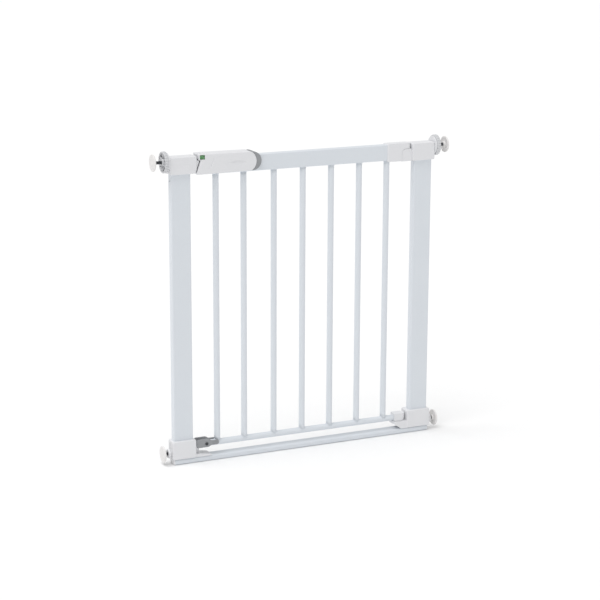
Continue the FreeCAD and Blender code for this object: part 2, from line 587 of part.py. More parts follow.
def latch_bolt():
    """Bolt with a leaning tip, parallel to the gap it crosses."""
    base = HANDLE_BASE - GAP - BOLT_REACH
    outline = [(BOLT_BACK, BOLT_BOTTOM), (gap_line(base, BOLT_BOTTOM), BOLT_BOTTOM),
               (gap_line(base, BOLT_TOP), BOLT_TOP), (BOLT_BACK, BOLT_TOP)]
    body = prism(outline, BOLT_HALF_DEEP)
    tip = [e for e in body.Edges if e.BoundBox.XMax < gap_line(base, BOLT_TOP) + 0.01
           and abs(e.BoundBox.ZMax - e.BoundBox.ZMin) > 1]
    body = body.makeFillet(1.5, tip)
    return body.cut(block(BOLT_BACK - 8, BOLT_BACK + 1, -PLATE_HALF_THICK, PLATE_HALF_THICK, PLATE_BOTTOM, PLATE_TOP))


def slide_plate():
    plate = block(BOLT_BACK - 8, PLATE_RIGHT, -PLATE_HALF_THICK, PLATE_HALF_THICK, PLATE_BOTTOM, PLATE_TOP)
    return plate.cut(across(BUTTON_PIN_RADIUS, BUTTON_PIN_X, BUTTON_PIN_Z, -10, 10))


def slide_button():
    """Crescent saddle over the rail, with two cheeks that run inside the handle."""
    half = BUTTON_HALF_DEEP
    edges = [arc(BUTTON_TOP, BUTTON_TIP, BUTTON_BOTTOM, -half), line(BUTTON_BOTTOM, BUTTON_TOP, -half)]
    body = filled(edges, 2 * half)
    curved = [e for e in body.Edges if e.BoundBox.XMax > -130 and abs(e.BoundBox.YMax - e.BoundBox.YMin) < 0.01]
    body = body.makeFillet(2.0, curved)
    body = body.cut(deep(handle_face(0.3), half + 5))
    cheeks = [block(-168.0, -128.0, y, y + 2.3, 725.0, 756.0) for y in (-12.6, 10.3)]
    body = body.fuse(cheeks).removeSplitter()
    body = body.cut(block(-200, -100, -10.3, 10.3, 700, RAIL_TOP + 0.3))
    return body.cut(across(BUTTON_PIN_RADIUS, BUTTON_PIN_X, BUTTON_PIN_Z, -20, 20))


def button_pin():
    return across(BUTTON_PIN_RADIUS, BUTTON_PIN_X, BUTTON_PIN_Z, -12.5, 12.5)


def spring_stop():
    """Block fixed in the rail that the spring pushes against; the plate slides through it."""
    half = RAIL_DEEP / 2 - RAIL_WALL - 0.1
    body = block(SPRING_RIGHT + 0.2, SPRING_RIGHT + 8, -half, half, RAIL_BOTTOM + 1.3, RAIL_TOP - 1.3)
    body = rounded(body, 1.5, runs_along(Vector(1, 0, 0)))
    play = 0.3
    return body.cut(block(SPRING_LEFT, SPRING_RIGHT + 20, -PLATE_HALF_THICK - play, PLATE_HALF_THICK + play,
                          PLATE_BOTTOM - play, PLATE_TOP + play))


def latch_spring():
    """Compression spring round the slide plate."""
    span = SPRING_RIGHT - SPRING_LEFT - 2 * SPRING_WIRE
    helix = Part.makeHelix(span / SPRING_TURNS, span, SPRING_RADIUS)
    section = Part.Wire(Part.makeCircle(SPRING_WIRE, Vector(SPRING_RADIUS, 0, 0), Vector(0, 1, 0)))
    coil = Part.Wire(helix).makePipeShell([section], True, True)
    coil.rotate(Vector(0, 0, 0), Vector(0, 1, 0), 90)
    coil.translate(Vector(SPRING_LEFT + SPRING_WIRE, 0, (PLATE_BOTTOM + PLATE_TOP) / 2))
    return coil


# ---- hinge pins and wall spindles -------------------------------------------------------
def upper_hinge_pin():
    return upright(HINGE_PIN_RADIUS, HINGE_X, HINGE_BOX_BOTTOM + 3.2, HINGE_COVER_TOP - 3)


def lower_hinge_pin():
    return upright(HINGE_PIN_RADIUS, HINGE_X, THRESHOLD_HIGH + 3.2, CAP_TOP - 4)


def rod(face, z):
    return along(ROD_RADIUS, face - 2.5 - ROD_LENGTH, face - 2.5, z)


def pad(face, z):
    disc = along(PAD_RADIUS, face - PAD_THICK, face, z)
    disc = rounded(disc, 1.5, lambda e: e.BoundBox.ZLength > 30 and e.BoundBox.XLength < 0.01)
    boss = along(BOSS_RADIUS, face - PAD_THICK - BOSS_LENGTH, face - PAD_THICK, z)
    return disc.fuse(boss).cut(along(ROD_RADIUS, face - 20, face - 2.5, z))


def turned(shape, angle, z):
    """Copy of a shape, turned about the spindle's axis."""
    copy = shape.copy()
    copy.rotate(Vector(0, 0, z), Vector(1, 0, 0), angle)
    return copy


def handwheel(z):
    """Adjusting nut with a notched rim, six ribs and a hub."""
    rim_inner = WHEEL_RADIUS - WHEEL_RIM
    rim = along(WHEEL_RADIUS, WHEEL_NEAR, WHEEL_FAR, z).cut(along(rim_inner, WHEEL_NEAR + 2.5, WHEEL_FAR + 1, z))
    rib = block(WHEEL_NEAR + 1, WHEEL_FAR - 1.5, -1.1, 1.1, z + 5, z + rim_inner + 1)
    hub = along(8.5, WHEEL_NEAR, WHEEL_FAR + 1.5, z)
    body = rim.fuse([hub] + [turned(rib, 60 * i, z) for i in range(6)])
    pitch = 360.0 / WHEEL_NOTCHES
    notch = Part.makeCylinder(1.5, 20, Vector(WHEEL_NEAR - 5, 0, z + WHEEL_RADIUS + 0.5), Vector(1, 0, 0))
    body = body.cut([turned(notch, pitch * (i + 0.5), z) for i in range(WHEEL_NOTCHES)])
    return body.cut(along(ROD_RADIUS + RUNNING_FIT, WHEEL_NEAR - 5, WHEEL_FAR + 10, z))


def foot_nut(z):
    """Small adjusting nut with eight flats."""
    flats = 8
    reach = NUT_RADIUS / math.cos(math.pi / flats)
    ring = [Vector(NUT_NEAR, reach * math.sin(math.pi * (2 * i + 1) / flats),
                   z + reach * math.cos(math.pi * (2 * i + 1) / flats)) for i in range(flats)]
    body = Part.Face(Part.makePolygon(ring + ring[:1])).extrude(Vector(NUT_FAR - NUT_NEAR, 0, 0))
    return body.cut(along(ROD_RADIUS + RUNNING_FIT, NUT_NEAR - 5, NUT_FAR + 5, z))


def spindle_nodes(name, face, z, nut, left):
    """Rod, pad and nut of one wall spindle."""
    place = mirrored if left else (lambda shape: shape)
    return {
        name + "_rod": place(rod(face, z)),
        name + "_pad": place(pad(face, z)),
        name + ("_handwheel" if nut is handwheel else "_nut"): place(nut(z)),
    }


def nodes():
    keeper, hinge_box = keeper_housing(), hinge_housing()
    left_foot, right_foot = left_foot_housing(), right_foot_housing()
    cover, handle = hinge_cover(), handle_shells()
    front_lever = stop_lever()
    made = {
        "left_post": left_post(),
        "right_post": right_post(),
        "threshold_bar": threshold_bar(),
        "threshold_plugs": threshold_plugs(),
        "keeper_housing_front": front_half(keeper),
        "keeper_housing_rear": rear_half(keeper),
        "keeper_strike": keeper_strike(),
        "hinge_housing_front": front_half(hinge_box),
        "hinge_housing_rear": rear_half(hinge_box),
        "upper_hinge_knuckle": upper_hinge_knuckle(),
        "left_foot_housing_front": front_half(left_foot),
        "left_foot_housing_rear": rear_half(left_foot),
        "right_foot_housing_front": front_half(right_foot),
        "right_foot_housing_rear": rear_half(right_foot),
        "closing_ramp": closing_ramp(),
        "lower_hinge_cradle": lower_hinge_cradle(),
        "frame_screws": frame_screws(),
        "spindle_guides": spindle_guides(),
        "top_rail": top_rail(),
        "bottom_rail": bottom_rail(),
        "hinge_cover_front": front_half(cover),
        "hinge_cover_rear": rear_half(cover),
        "lower_hinge_cap": lower_hinge_cap(),
        "rail_end_cap": rail_end_cap(),
        "stop_lever_pin": stop_lever_pin(),
        "handle_front_shell": front_half(handle),
        "handle_rear_shell": rear_half(handle),
        "door_screws": group([screw(x, z, *HANDLE_SCREW_ENDS) for x, z in HANDLE_SCREWS]
                             + [screw(x, z, *HINGE_COVER_SCREW_ENDS) for x, z in HINGE_COVER_SCREWS]),
        "indicator_windows": indicator_windows(),
        "indicator_backing": indicator_backing(),
        "spring_stop": spring_stop(),
        "latch_spring": latch_spring(),
        "slide_button": slide_button(),
        "button_pin": button_pin(),
        "slide_plate": slide_plate(),
        "latch_bolt": latch_bolt(),
        "indicator_shutter": indicator_shutter(),
        "front_stop_lever": front_lever,
        "rear_stop_lever": front_lever.mirror(Vector(0, 0, 0), Vector(0, 1, 0)),
        "upper_hinge_pin": upper_hinge_pin(),
        "lower_hinge_pin": lower_hinge_pin(),
    }
    for number, x in enumerate(BAR_CENTRES, 1):
        made[f"bar_{number}"] = bar(x)
    made.update(spindle_nodes("top_left", TOP_PAD_FACE, TOP_LEFT_SPINDLE_Z, handwheel, True))
    made.update(spindle_nodes("top_right", TOP_PAD_FACE, TOP_RIGHT_SPINDLE_Z, handwheel, False))
    made.update(spindle_nodes("foot_left", FOOT_PAD_FACE, FOOT_SPINDLE_Z, foot_nut, True))
    made.update(spindle_nodes("foot_right", FOOT_PAD_FACE, FOOT_SPINDLE_Z, foot_nut, False))
    return made


def main():
    os.makedirs("parts", exist_ok=True)
    for name, shape in nodes().items():
        shape.exportStep(f"parts/{name}.step")


main()
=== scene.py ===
"""Looks of a pressure-fit stair gate with its sliding latch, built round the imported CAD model.

Sizes are in millimetres, in the model's own frame: +X runs from the latch post to the hinge
post, +Y to the back of the gate and +Z up, with the origin on the floor under the middle.
"""

import logging
import math
from dataclasses import dataclass, replace
from enum import Enum
from functools import cache
from typing import Callable, Optional

import bpy
import numpy as np
from mathutils import Matrix, Vector


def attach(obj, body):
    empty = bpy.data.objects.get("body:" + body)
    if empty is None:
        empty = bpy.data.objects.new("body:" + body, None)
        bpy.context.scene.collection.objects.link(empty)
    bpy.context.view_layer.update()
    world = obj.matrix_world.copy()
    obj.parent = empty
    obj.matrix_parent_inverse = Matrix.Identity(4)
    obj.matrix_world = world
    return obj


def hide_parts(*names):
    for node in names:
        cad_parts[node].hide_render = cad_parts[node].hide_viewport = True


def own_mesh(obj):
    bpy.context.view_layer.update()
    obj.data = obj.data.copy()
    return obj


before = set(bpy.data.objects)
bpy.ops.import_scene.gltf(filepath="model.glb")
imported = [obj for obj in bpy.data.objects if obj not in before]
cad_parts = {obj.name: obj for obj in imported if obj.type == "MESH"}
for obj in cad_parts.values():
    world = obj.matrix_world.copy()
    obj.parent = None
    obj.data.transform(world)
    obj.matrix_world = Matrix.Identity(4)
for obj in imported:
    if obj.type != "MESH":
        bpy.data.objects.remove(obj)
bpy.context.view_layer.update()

LOG = logging.getLogger("gate")
MM = 0.001
TURN = 2 * math.pi
Array = np.ndarray
Piece = bpy.types.Object
Pair = tuple[float, float]
Box = tuple[float, float, float, float]
Drop = Callable[[Array], Array]
Relief = Callable[[Array, Array], Array]


# ---- surfaces ----------------------------------------------------------------------------
def softened(corners: list[Pair], radii: list[float], steps: int = 10) -> Array:
    """Round the corners of a polygon.

    Each corner becomes a parabola that leaves one side and joins the next a radius away:
    P(t) = (1-t)^2 A + 2t(1-t) C + t^2 B, with C the corner.

    Args:
        corners: the polygon's corners as (x, z), in order.
        radii: how far from each corner the rounding starts.
        steps: points on each rounding.

    Returns:
        The outline as an array of (x, z).
    """
    points = np.asarray(corners, float)
    reach = np.asarray(radii, float)[:, None]
    before = np.roll(points, 1, 0) - points
    after = np.roll(points, -1, 0) - points
    start = points + reach * before / np.linalg.norm(before, axis=1, keepdims=True)
    end = points + reach * after / np.linalg.norm(after, axis=1, keepdims=True)
    t = np.linspace(0, 1, steps)[None, :, None]
    curve = (1 - t) ** 2 * start[:, None] + 2 * t * (1 - t) * points[:, None] + t ** 2 * end[:, None]
    return curve.reshape(-1, 2)


def circle_through(start: Pair, middle: Pair, end: Pair) -> tuple[Array, float]:
    """Circle through three points: its centre is as far from the first as from the other two.

    Args:
        start: first point.
        middle: second point.
        end: third point.

    Returns:
        Its centre and radius.
    """
    a, b, c = (np.asarray(point, float) for point in (start, middle, end))
    centre = np.linalg.solve(np.array([2 * (b - a), 2 * (c - a)]), np.array([b @ b - a @ a, c @ c - a @ a]))
    return centre, float(np.linalg.norm(a - centre))


def arc_through(start: Pair, middle: Pair, end: Pair, count: int) -> Array:
    """Points of the arc through three points, evenly spaced in angle.

    Args:
        start: first point.
        middle: a point between them.
        end: last point.
        count: how many points.

    Returns:
        Array of (x, z).
    """
    centre, radius = circle_through(start, middle, end)
    turns = np.unwrap([math.atan2(z - centre[1], x - centre[0]) for x, z in (start, middle, end)])
    sweep = np.linspace(turns[0], turns[2], count)
    return centre + radius * np.stack([np.cos(sweep), np.sin(sweep)], 1)


def worn(corners: Array, reach: float, spacing: float = 0.4) -> Array:
    """Round every corner of a closed outline by averaging it along its own length.

    Each point becomes the mean of the outline from reach before it to reach after it, which
    turns a corner into a parabola and leaves straight sides where they are.

    Args:
        corners: the outline's points as (x, z).
        reach: how far the mean goes to each side.
        spacing: distance between the new points.

    Returns:
        The rounded outline.
    """
    closed = np.vstack([corners, corners[:1]])
    length = np.concatenate([[0], np.cumsum(np.linalg.norm(np.diff(closed, axis=0), axis=1))])
    at = np.linspace(0, length[-1], int(length[-1] / spacing), endpoint=False)
    even = np.stack([np.interp(at, length, closed[:, 0]), np.interp(at, length, closed[:, 1])], 1)
    steps = int(reach / spacing)
    shifts = np.arange(len(even))[:, None] + np.arange(-steps, steps + 1)[None, :]
    return even[shifts % len(even)].mean(1)


def four_sided(outline: Array, corners: list[Pair], across: int, up: int) -> Array:
    """Respace an anticlockwise outline as four sides, each with points spaced evenly along it.

    Args:
        outline: closed outline of (x, z).
        corners: lower left, lower right, upper right and upper left, as near as the outline comes.
        across: steps on the lower and upper sides.
        up: steps on the other two.

    Returns:
        2 * (across + up) points, starting at the lower left and going along the lower side.
    """
    places = [int(np.argmin(np.linalg.norm(outline - np.asarray(corner), axis=1))) for corner in corners]
    started = np.roll(outline, -places[0], 0)
    closed = np.vstack([started, started[:1]])
    length = np.concatenate([[0], np.cumsum(np.linalg.norm(np.diff(closed, axis=0), axis=1))])
    stops = [length[(place - places[0]) % len(outline)] for place in places] + [length[-1]]
    counts = (across, up, across, up)
    at = np.concatenate([np.linspace(a, b, n, endpoint=False) for a, b, n in zip(stops, stops[1:], counts)])
    return np.stack([np.interp(at, length, closed[:, 0]), np.interp(at, length, closed[:, 1])], 1)


def sides(ring: Array, across: int, up: int) -> tuple[Array, Array, Array, Array]:
    """Split what four_sided gave into its sides.

    Args:
        ring: one value or point for each place on the ring.
        across: steps on the lower side.
        up: steps on the right side.

    Returns:
        Lower and upper side from left to right, and right and left side from the bottom up, in the
        order lower, right, upper, left.
    """
    closed = np.concatenate([ring, ring[:1]])
    turn = across + up
    return closed[:across + 1], closed[across:turn + 1], closed[turn:turn + across + 1][::-1], closed[
        turn + across:][::-1]


def inset(ring: Array, distance: float) -> Array:
    """Move a ring of points inwards along its own normals.

    Args:
        ring: closed ring of (x, z), anticlockwise.
        distance: how far, in millimetres.

    Returns:
        The moved ring.
    """
    along = np.roll(ring, -1, 0) - np.roll(ring, 1, 0)
    along /= np.maximum(np.linalg.norm(along, axis=1, keepdims=True), 1e-9)
    return ring + distance * np.stack([-along[:, 1], along[:, 0]], 1)


def band_faces(rows: int, count: int, looped: bool = False) -> Array:
    """Quads between the rings of a stack, each ring closed on itself.

    Args:
        rows: number of rings.
        count: points in a ring.
        looped: whether the last ring joins the first.

    Returns:
        Array of quads of vertex numbers.
    """
    row = np.arange(rows if looped else rows - 1)[:, None]
    column = np.arange(count)[None, :]
    following = (column + 1) % count
    above = (row + 1) % rows
    return np.stack([row * count + column, row * count + following,
                     above * count + following, above * count + column], -1).reshape(-1, 4)


def patch_faces(ids: Array) -> Array:
    """Quads of a rectangular grid of vertex numbers.

    Args:
        ids: grid of vertex numbers.

    Returns:
        Array of quads.
    """
    return np.stack([ids[:-1, :-1], ids[:-1, 1:], ids[1:, 1:], ids[1:, :-1]], -1).reshape(-1, 4)


def coons(ring: Array, across: int, up: int) -> Array:
    """Fill a four-sided ring with a grid.

    The point at (u, v) is the mix of the lower and upper sides by v, plus the mix of the left
    and right sides by u, less the mix of the four corners by both (a Coons patch).

    Args:
        ring: points from four_sided.
        across: steps on the lower side.
        up: steps on the right side.

    Returns:
        Grid of shape (up + 1, across + 1, 2).
    """
    low, right, high, left = sides(ring, across, up)
    u = np.linspace(0, 1, across + 1)[None, :, None]
    v = np.linspace(0, 1, up + 1)[:, None, None]
    mixed = (1 - v) * low[None] + v * high[None] + (1 - u) * left[:, None] + u * right[:, None]
    return mixed - (1 - v) * ((1 - u) * low[0] + u * low[-1]) - v * ((1 - u) * high[0] + u * high[-1])


def make_piece(name: str, points: Array, faces: list[list[int]], smooth: bool = True) -> Piece:
    """Put points and faces into a mesh object that stands at the origin.

    Args:
        name: the piece's name.
        points: vertices in millimetres.
        faces: faces as lists of vertex numbers.
        smooth: whether faces are shaded smooth.

    Returns:
        The object, linked to the scene.
    """
    mesh = bpy.data.meshes.new(name)
    mesh.from_pydata((points * MM).tolist(), [], faces)
    mesh.polygons.foreach_set("use_smooth", np.full(len(mesh.polygons), smooth))
    mesh.update()
    mesh.validate()
    piece = bpy.data.objects.new(name, mesh)
    bpy.context.collection.objects.link(piece)
    return piece


def outward(points: Array, faces: Array) -> Array:
    """Turn quads that are wound alike so that they point away from the middle of their points.

    They are turned if the sum of normal . (face centre - middle) is negative.

    Args:
        points: vertices.
        faces: quads wound alike.

    Returns:
        The quads, reversed if they pointed in.
    """
    corner = points[faces]
    normal = np.cross(corner[:, 2] - corner[:, 0], corner[:, 3] - corner[:, 1])
    return faces if np.sum(normal * (corner.mean(1) - points.mean(0))) > 0 else faces[:, ::-1]


def stacked(name: str, rings: Array, looped: bool = False, capped: bool = True) -> Piece:
    """Skin over a stack of closed rings.

    Args:
        name: the piece's name.
        rings: array of shape (rows, count, 3).
        looped: whether the last ring joins the first, as round a bore.
        capped: whether a face closes the first and the last ring of a stack that is not looped.

    Returns:
        The object.
    """
    rows, count, _ = rings.shape
    points = rings.reshape(-1, 3)
    bands = band_faces(rows, count, looped)
    faces = outward(points, bands)
    listed = faces.tolist()
    if capped and not looped:
        ends = [list(range(count))[::-1], list(range((rows - 1) * count, rows * count))]
        listed += ends if faces is bands else [end[::-1] for end in ends]
    return make_piece(name, points, listed)


def lathe(name: str, profile: Array, height: float, side: float, steps: int = 64, bored: bool = False,
          trim: Optional[Relief] = None) -> Piece:
    """Body of revolution about a line along X.

    A profile point (a, r) sweeps the circle x = side * a, y = r cos q, z = height + r sin q.

    Args:
        name: the piece's name.
        profile: (distance along the axis, radius) in order; closed on itself if bored.
        height: height of the axis.
        side: 1 or -1, the way the distances run.
        steps: points in a circle.
        bored: whether the profile closes on itself, leaving a hole on the axis.
        trim: radius as a function of (angle, radius), for notches and flats.

    Returns:
        The object.
    """
    angle = np.linspace(0, TURN, steps, endpoint=False)[None, :]
    radius = np.repeat(profile[:, 1:], steps, 1)
    radius = trim(angle, radius) if trim else radius
    x = side * np.repeat(profile[:, :1], steps, 1)
    rings = np.stack([x, radius * np.cos(angle), height + radius * np.sin(angle)], -1)
    return stacked(name, rings, looped=bored)


def joined(name: str, parts: list[Piece]) -> Piece:
    """Join meshes that have no modifiers into one piece.

    Args:
        name: the piece's name.
        parts: the objects; all but the result are removed.

    Returns:
        The joined object.
    """
    points: list[Array] = []
    faces: list[list[int]] = []
    start = 0
    for part in parts:
        mesh = part.data
        block = np.empty(len(mesh.vertices) * 3)
        mesh.vertices.foreach_get("co", block)
        points.append(block.reshape(-1, 3) / MM)
        faces += [[start + index for index in face.vertices] for face in mesh.polygons]
        start += len(mesh.vertices)
        bpy.data.objects.remove(part)
    return make_piece(name, np.vstack(points), faces)


@dataclass
class Shell:
    """Half of a moulded housing: a flat or shaped face, a rounded rim and a wall back to the joint."""

    outline: Array  # closed outline of (x, z)
    corners: list[Pair]  # where its four sides meet
    face_y: float  # the flat face's distance from the middle plane
    side: int  # -1 for a front half, 1 for a rear half
    rim: float = 3.0  # radius between the face and the wall
    wall: float = 2.2  # thickness of the moulding
    across: int = 64  # steps along the lower and upper sides
    up: int = 44  # steps along the other two
    joint: float = 0.35  # depth of the shadow groove where two halves meet

    def build(self, name: str, opening: Optional[Drop] = None, relief: Optional[Relief] = None) -> Piece:
        """Make the half.

        The wall's rings follow the outline from the joint to the rim. The rim's rings go in by
        rim (1 - cos a) as they go forward by rim sin a. The face is a Coons patch at face_y,
        moved in by the relief.

        Args:
            name: the piece's name.
            opening: tells from the face centres which faces to leave out.
            relief: depth of the face below its plane as a function of (x, z).

        Returns:
            The object, with its wall's thickness as a modifier.
        """
        ring = four_sided(self.outline, self.corners, self.across, self.up)
        straight = self.face_y - self.rim
        angle = np.linspace(0, math.pi / 2, 8)[1:]
        wall = np.linspace(1.5, straight, int(straight))
        depth = np.concatenate([[0, 0.5], wall, straight + self.rim * np.sin(angle)])
        shrink = np.concatenate([[self.joint, 0], 0 * wall, self.rim * (1 - np.cos(angle))])
        loops = np.stack([inset(ring, distance) for distance in shrink])
        grid = coons(loops[-1], self.across, self.up)
        sunk = relief(grid[..., 0], grid[..., 1]) if relief else np.zeros(grid.shape[:2])
        rows, count = loops.shape[:2]
        ids = np.full(grid.shape[:2], -1)
        rim_ids = sides(np.arange((rows - 1) * count, rows * count), self.across, self.up)
        ids[0], ids[:, -1], ids[-1], ids[:, 0] = rim_ids
        inner = ids == -1
        ids[inner] = rows * count + np.arange(inner.sum())
        plan = np.vstack([loops.reshape(-1, 2), grid[inner]])
        y = self.side * np.concatenate([np.repeat(depth, count), self.face_y - sunk[inner]])
        points = np.stack([plan[:, 0], y, plan[:, 1]], 1)
        faces = np.vstack([outward(points, band_faces(rows, count)), outward(points, patch_faces(ids))])
        if opening:
            faces = faces[~opening(points[faces].mean(1))]
        piece = make_piece(name, points, faces.tolist())
        thicken = piece.modifiers.new("wall", "SOLIDIFY")
        thicken.thickness = self.wall * MM
        thicken.offset = -1
        return piece


def moulded_plate(name: str, outline: Array, y0: float, y1: float, rim: float) -> Piece:
    """Solid plate with an outline in the XZ plane and both rims rounded.

    The rims' rings go in by rim (1 - cos a) and towards the middle by rim (1 - sin a), with a from
    0 to 90 degrees. A narrow ring inside each keeps its face flat.

    Args:
        name: the piece's name.
        outline: closed anticlockwise outline of (x, z).
        y0: one face.
        y1: the other face.
        rim: radius of both rims.

    Returns:
        The object.
    """
    way = math.copysign(1, y1 - y0)
    angle = np.linspace(0, math.pi / 2, 6)
    near, rise = way * rim * (1 - np.sin(angle)), rim * (1 - np.cos(angle))
    depth = np.concatenate([[y0], y0 + near[::-1], y1 - near, [y1]])
    flat = rim + min(rim, 0.6)
    rise = np.concatenate([[flat], rise[::-1], rise, [flat]])
    loops = np.stack([inset(outline, distance) for distance in rise])
    y = np.repeat(depth[:, None], len(outline), 1)
    return stacked(name, np.stack([loops[..., 0], y, loops[..., 1]], -1))


# ---- finishes ----------------------------------------------------------------------------
def linear(colour: str) -> tuple[float, ...]:
    """Turn an sRGB hex colour into linear light.

    Args:
        colour: six hex digits.

    Returns:
        Linear red, green, blue and alpha.
    """
    parts = np.array([int(colour[i:i + 2], 16) / 255 for i in (0, 2, 4)])
    light = np.where(parts <= 0.04045, parts / 12.92, ((parts + 0.055) / 1.055) ** 2.4)
    return (*light.tolist(), 1.0)


def add(tree: bpy.types.NodeTree, kind: str, settings: dict[str, object],
        links: dict[str, bpy.types.NodeSocket]) -> bpy.types.Node:
    """Add a shader node with its settings and links.

    Args:
        tree: the material's node tree.
        kind: the node's type name.
        settings: attributes, or input values where an input has that name.
        links: inputs by name and the outputs that feed them.

    Returns:
        The node.
    """
    node = tree.nodes.new(kind)
    for name, value in settings.items():
        if name in node.inputs:
            node.inputs[name].default_value = value
        else:
            setattr(node, name, value)
    for name, source in links.items():
        tree.links.new(source, node.inputs[name])
    return node


class Grain(Enum):
    """How a finish's surface is patterned."""

    ORANGE_PEEL = "orange peel"
    SPARK = "spark-eroded mould grain"
    STREAKS = "drawn streaks"
    POLISHED = "polished mould"


@dataclass(frozen=True)
class Finish:
    """One real material and the way its surface was made."""

    name: str  # material and process
    colour: str  # sRGB hex of the clean surface
    shade: str  # sRGB hex of its faint mottling
    roughness: float  # middle of its roughness
    spread: float  # how far the roughness wanders
    grain: Grain  # kind of pattern
    cell_mm: float  # size of one cell of the pattern
    relief_mm: float  # height of the pattern
    metallic: float = 0.0  # 1 for bare metal
    clear: float = 0.0  # share of light let through
    coat: float = 0.0  # share of gloss coat

    @cache
    def material(self) -> bpy.types.Material:
        """Make the material's shader, once.

        Returns:
            The material.
        """
        material = bpy.data.materials.new(self.name)
        material.use_nodes = True
        tree = material.node_tree
        tree.nodes.clear()
        place = add(tree, "ShaderNodeTexCoord", {}, {}).outputs["Object"]
        stretch = (0.06, 1.0, 1.0) if self.grain is Grain.STREAKS else (1.0, 1.0, 1.0)
        mapped = add(tree, "ShaderNodeMapping", {"Scale": stretch}, {"Vector": place}).outputs["Vector"]
        cells = 1.0 / (self.cell_mm * MM)
        fine = add(tree, "ShaderNodeTexNoise", {"Scale": cells, "Detail": 2.0, "Roughness": 0.5},
                   {"Vector": mapped}).outputs[0]
        broad = add(tree, "ShaderNodeTexNoise", {"Scale": 1.0 / (60 * MM), "Detail": 3.0, "Roughness": 0.6},
                    {"Vector": place}).outputs[0]
        tone = add(tree, "ShaderNodeMix", {"data_type": "RGBA"}, {"Factor": broad})
        tone.inputs[6].default_value = linear(self.colour)
        tone.inputs[7].default_value = linear(self.shade)
        rough = add(tree, "ShaderNodeMapRange", {"To Min": self.roughness - self.spread,
                    "To Max": self.roughness + self.spread}, {"Value": fine}).outputs[0]
        bump = add(tree, "ShaderNodeBump", {"Strength": 0.5, "Distance": self.relief_mm * MM},
                   {"Height": fine}).outputs["Normal"]
        shader = add(tree, "ShaderNodeBsdfPrincipled",
                     {"Metallic": self.metallic, "Transmission Weight": self.clear,
                      "Coat Weight": self.coat},
                     {"Base Color": tone.outputs[2], "Roughness": rough, "Normal": bump})
        add(tree, "ShaderNodeOutputMaterial", {}, {"Surface": shader.outputs[0]})
        return material


# Polyester powder baked on steel tube: satin white, with a faint orange peel.
POWDER_COAT = Finish("polyester_powder_coat_baked", "DCE1E6", "D8DDE3", 0.42, 0.05, Grain.ORANGE_PEEL,
                     1.4, 0.02)
# Polypropylene from a spark-eroded mould: a soft, even white with fine grain.
WHITE_MOULDED = Finish("polypropylene_white_moulded", "E4E4E6", "E0E1E4", 0.48, 0.06, Grain.SPARK, 0.8,
                       0.03)
# ABS with carbon black, moulded: mid grey, the pieces that fingers move.
GREY_MOULDED = Finish("abs_grey_moulded", "989A9D", "929497", 0.45, 0.06, Grain.SPARK, 0.7, 0.035)
# Grey-white nylon, moulded: handwheels, a little waxy.
WHEEL_MOULDED = Finish("nylon_pale_grey_moulded", "D2D3D5", "CACBCE", 0.42, 0.05, Grain.SPARK, 0.8, 0.03)
# Thermoplastic rubber on the wall pads: matt and slightly warm.
PAD_RUBBER = Finish("tpe_pad_moulded", "E8E6E5", "E3E1E0", 0.62, 0.05, Grain.SPARK, 0.6, 0.05)
# Zinc on drawn steel: bright grey with faint streaks from drawing.
ZINC = Finish("steel_zinc_plated", "B4B7BA", "A6A9AE", 0.32, 0.08, Grain.STREAKS, 0.6, 0.01, metallic=1.0)
# Black zinc on rolled thread: dark, oily metal.
BLACK_STEEL = Finish("steel_black_zinc_rolled", "5A5C60", "4C4E52", 0.36, 0.08, Grain.STREAKS, 0.6, 0.01,
                     metallic=1.0)
# Dark painted rivet.
RIVET = Finish("steel_rivet_black_painted", "3A3C40", "34363A", 0.4, 0.05, Grain.ORANGE_PEEL, 0.8, 0.02)
# Green and red polystyrene from a polished mould: the indicator's flags.
GREEN_FLAG = Finish("polystyrene_green_moulded", "2FAA3A", "289A33", 0.3, 0.04, Grain.POLISHED, 1.2, 0.01)
RED_FLAG = Finish("polystyrene_red_moulded", "B3261E", "A9221B", 0.3, 0.04, Grain.POLISHED, 1.2, 0.01)
# Clear polycarbonate pane: glass-like, with a hint of mould flow.
CLEAR_PANE = Finish("polycarbonate_clear_moulded", "FCFEFC", "F8FCF8", 0.04, 0.02, Grain.POLISHED, 3.0,
                    0.004, clear=1.0)


def fit(piece: Piece, body: str, slot: str, finish: Finish, *nodes: str) -> None:
    """Give a new piece its body and material.

    Args:
        piece: the object.
        body: CAD body it moves with.
        slot: not used.
        finish: its finish.
        nodes: CAD nodes that it stands for.
    """
    piece.data.materials.append(finish.material())
    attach(piece, body)
    if nodes:
        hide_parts(*nodes)
    LOG.info("%s: %d points, rides on %s, stands for %s", piece.name, len(piece.data.vertices), body,
             ", ".join(nodes) or "nothing")


def dress(finish: Finish, *nodes: str) -> None:
    """Give CAD nodes a material.

    Args:
        finish: their finish.
        nodes: names of the nodes.
    """
    for node in nodes:
        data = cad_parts[node].data
        data.materials.clear()
        data.materials.append(finish.material())
        LOG.info("%s: CAD node in %s", node, finish.name)


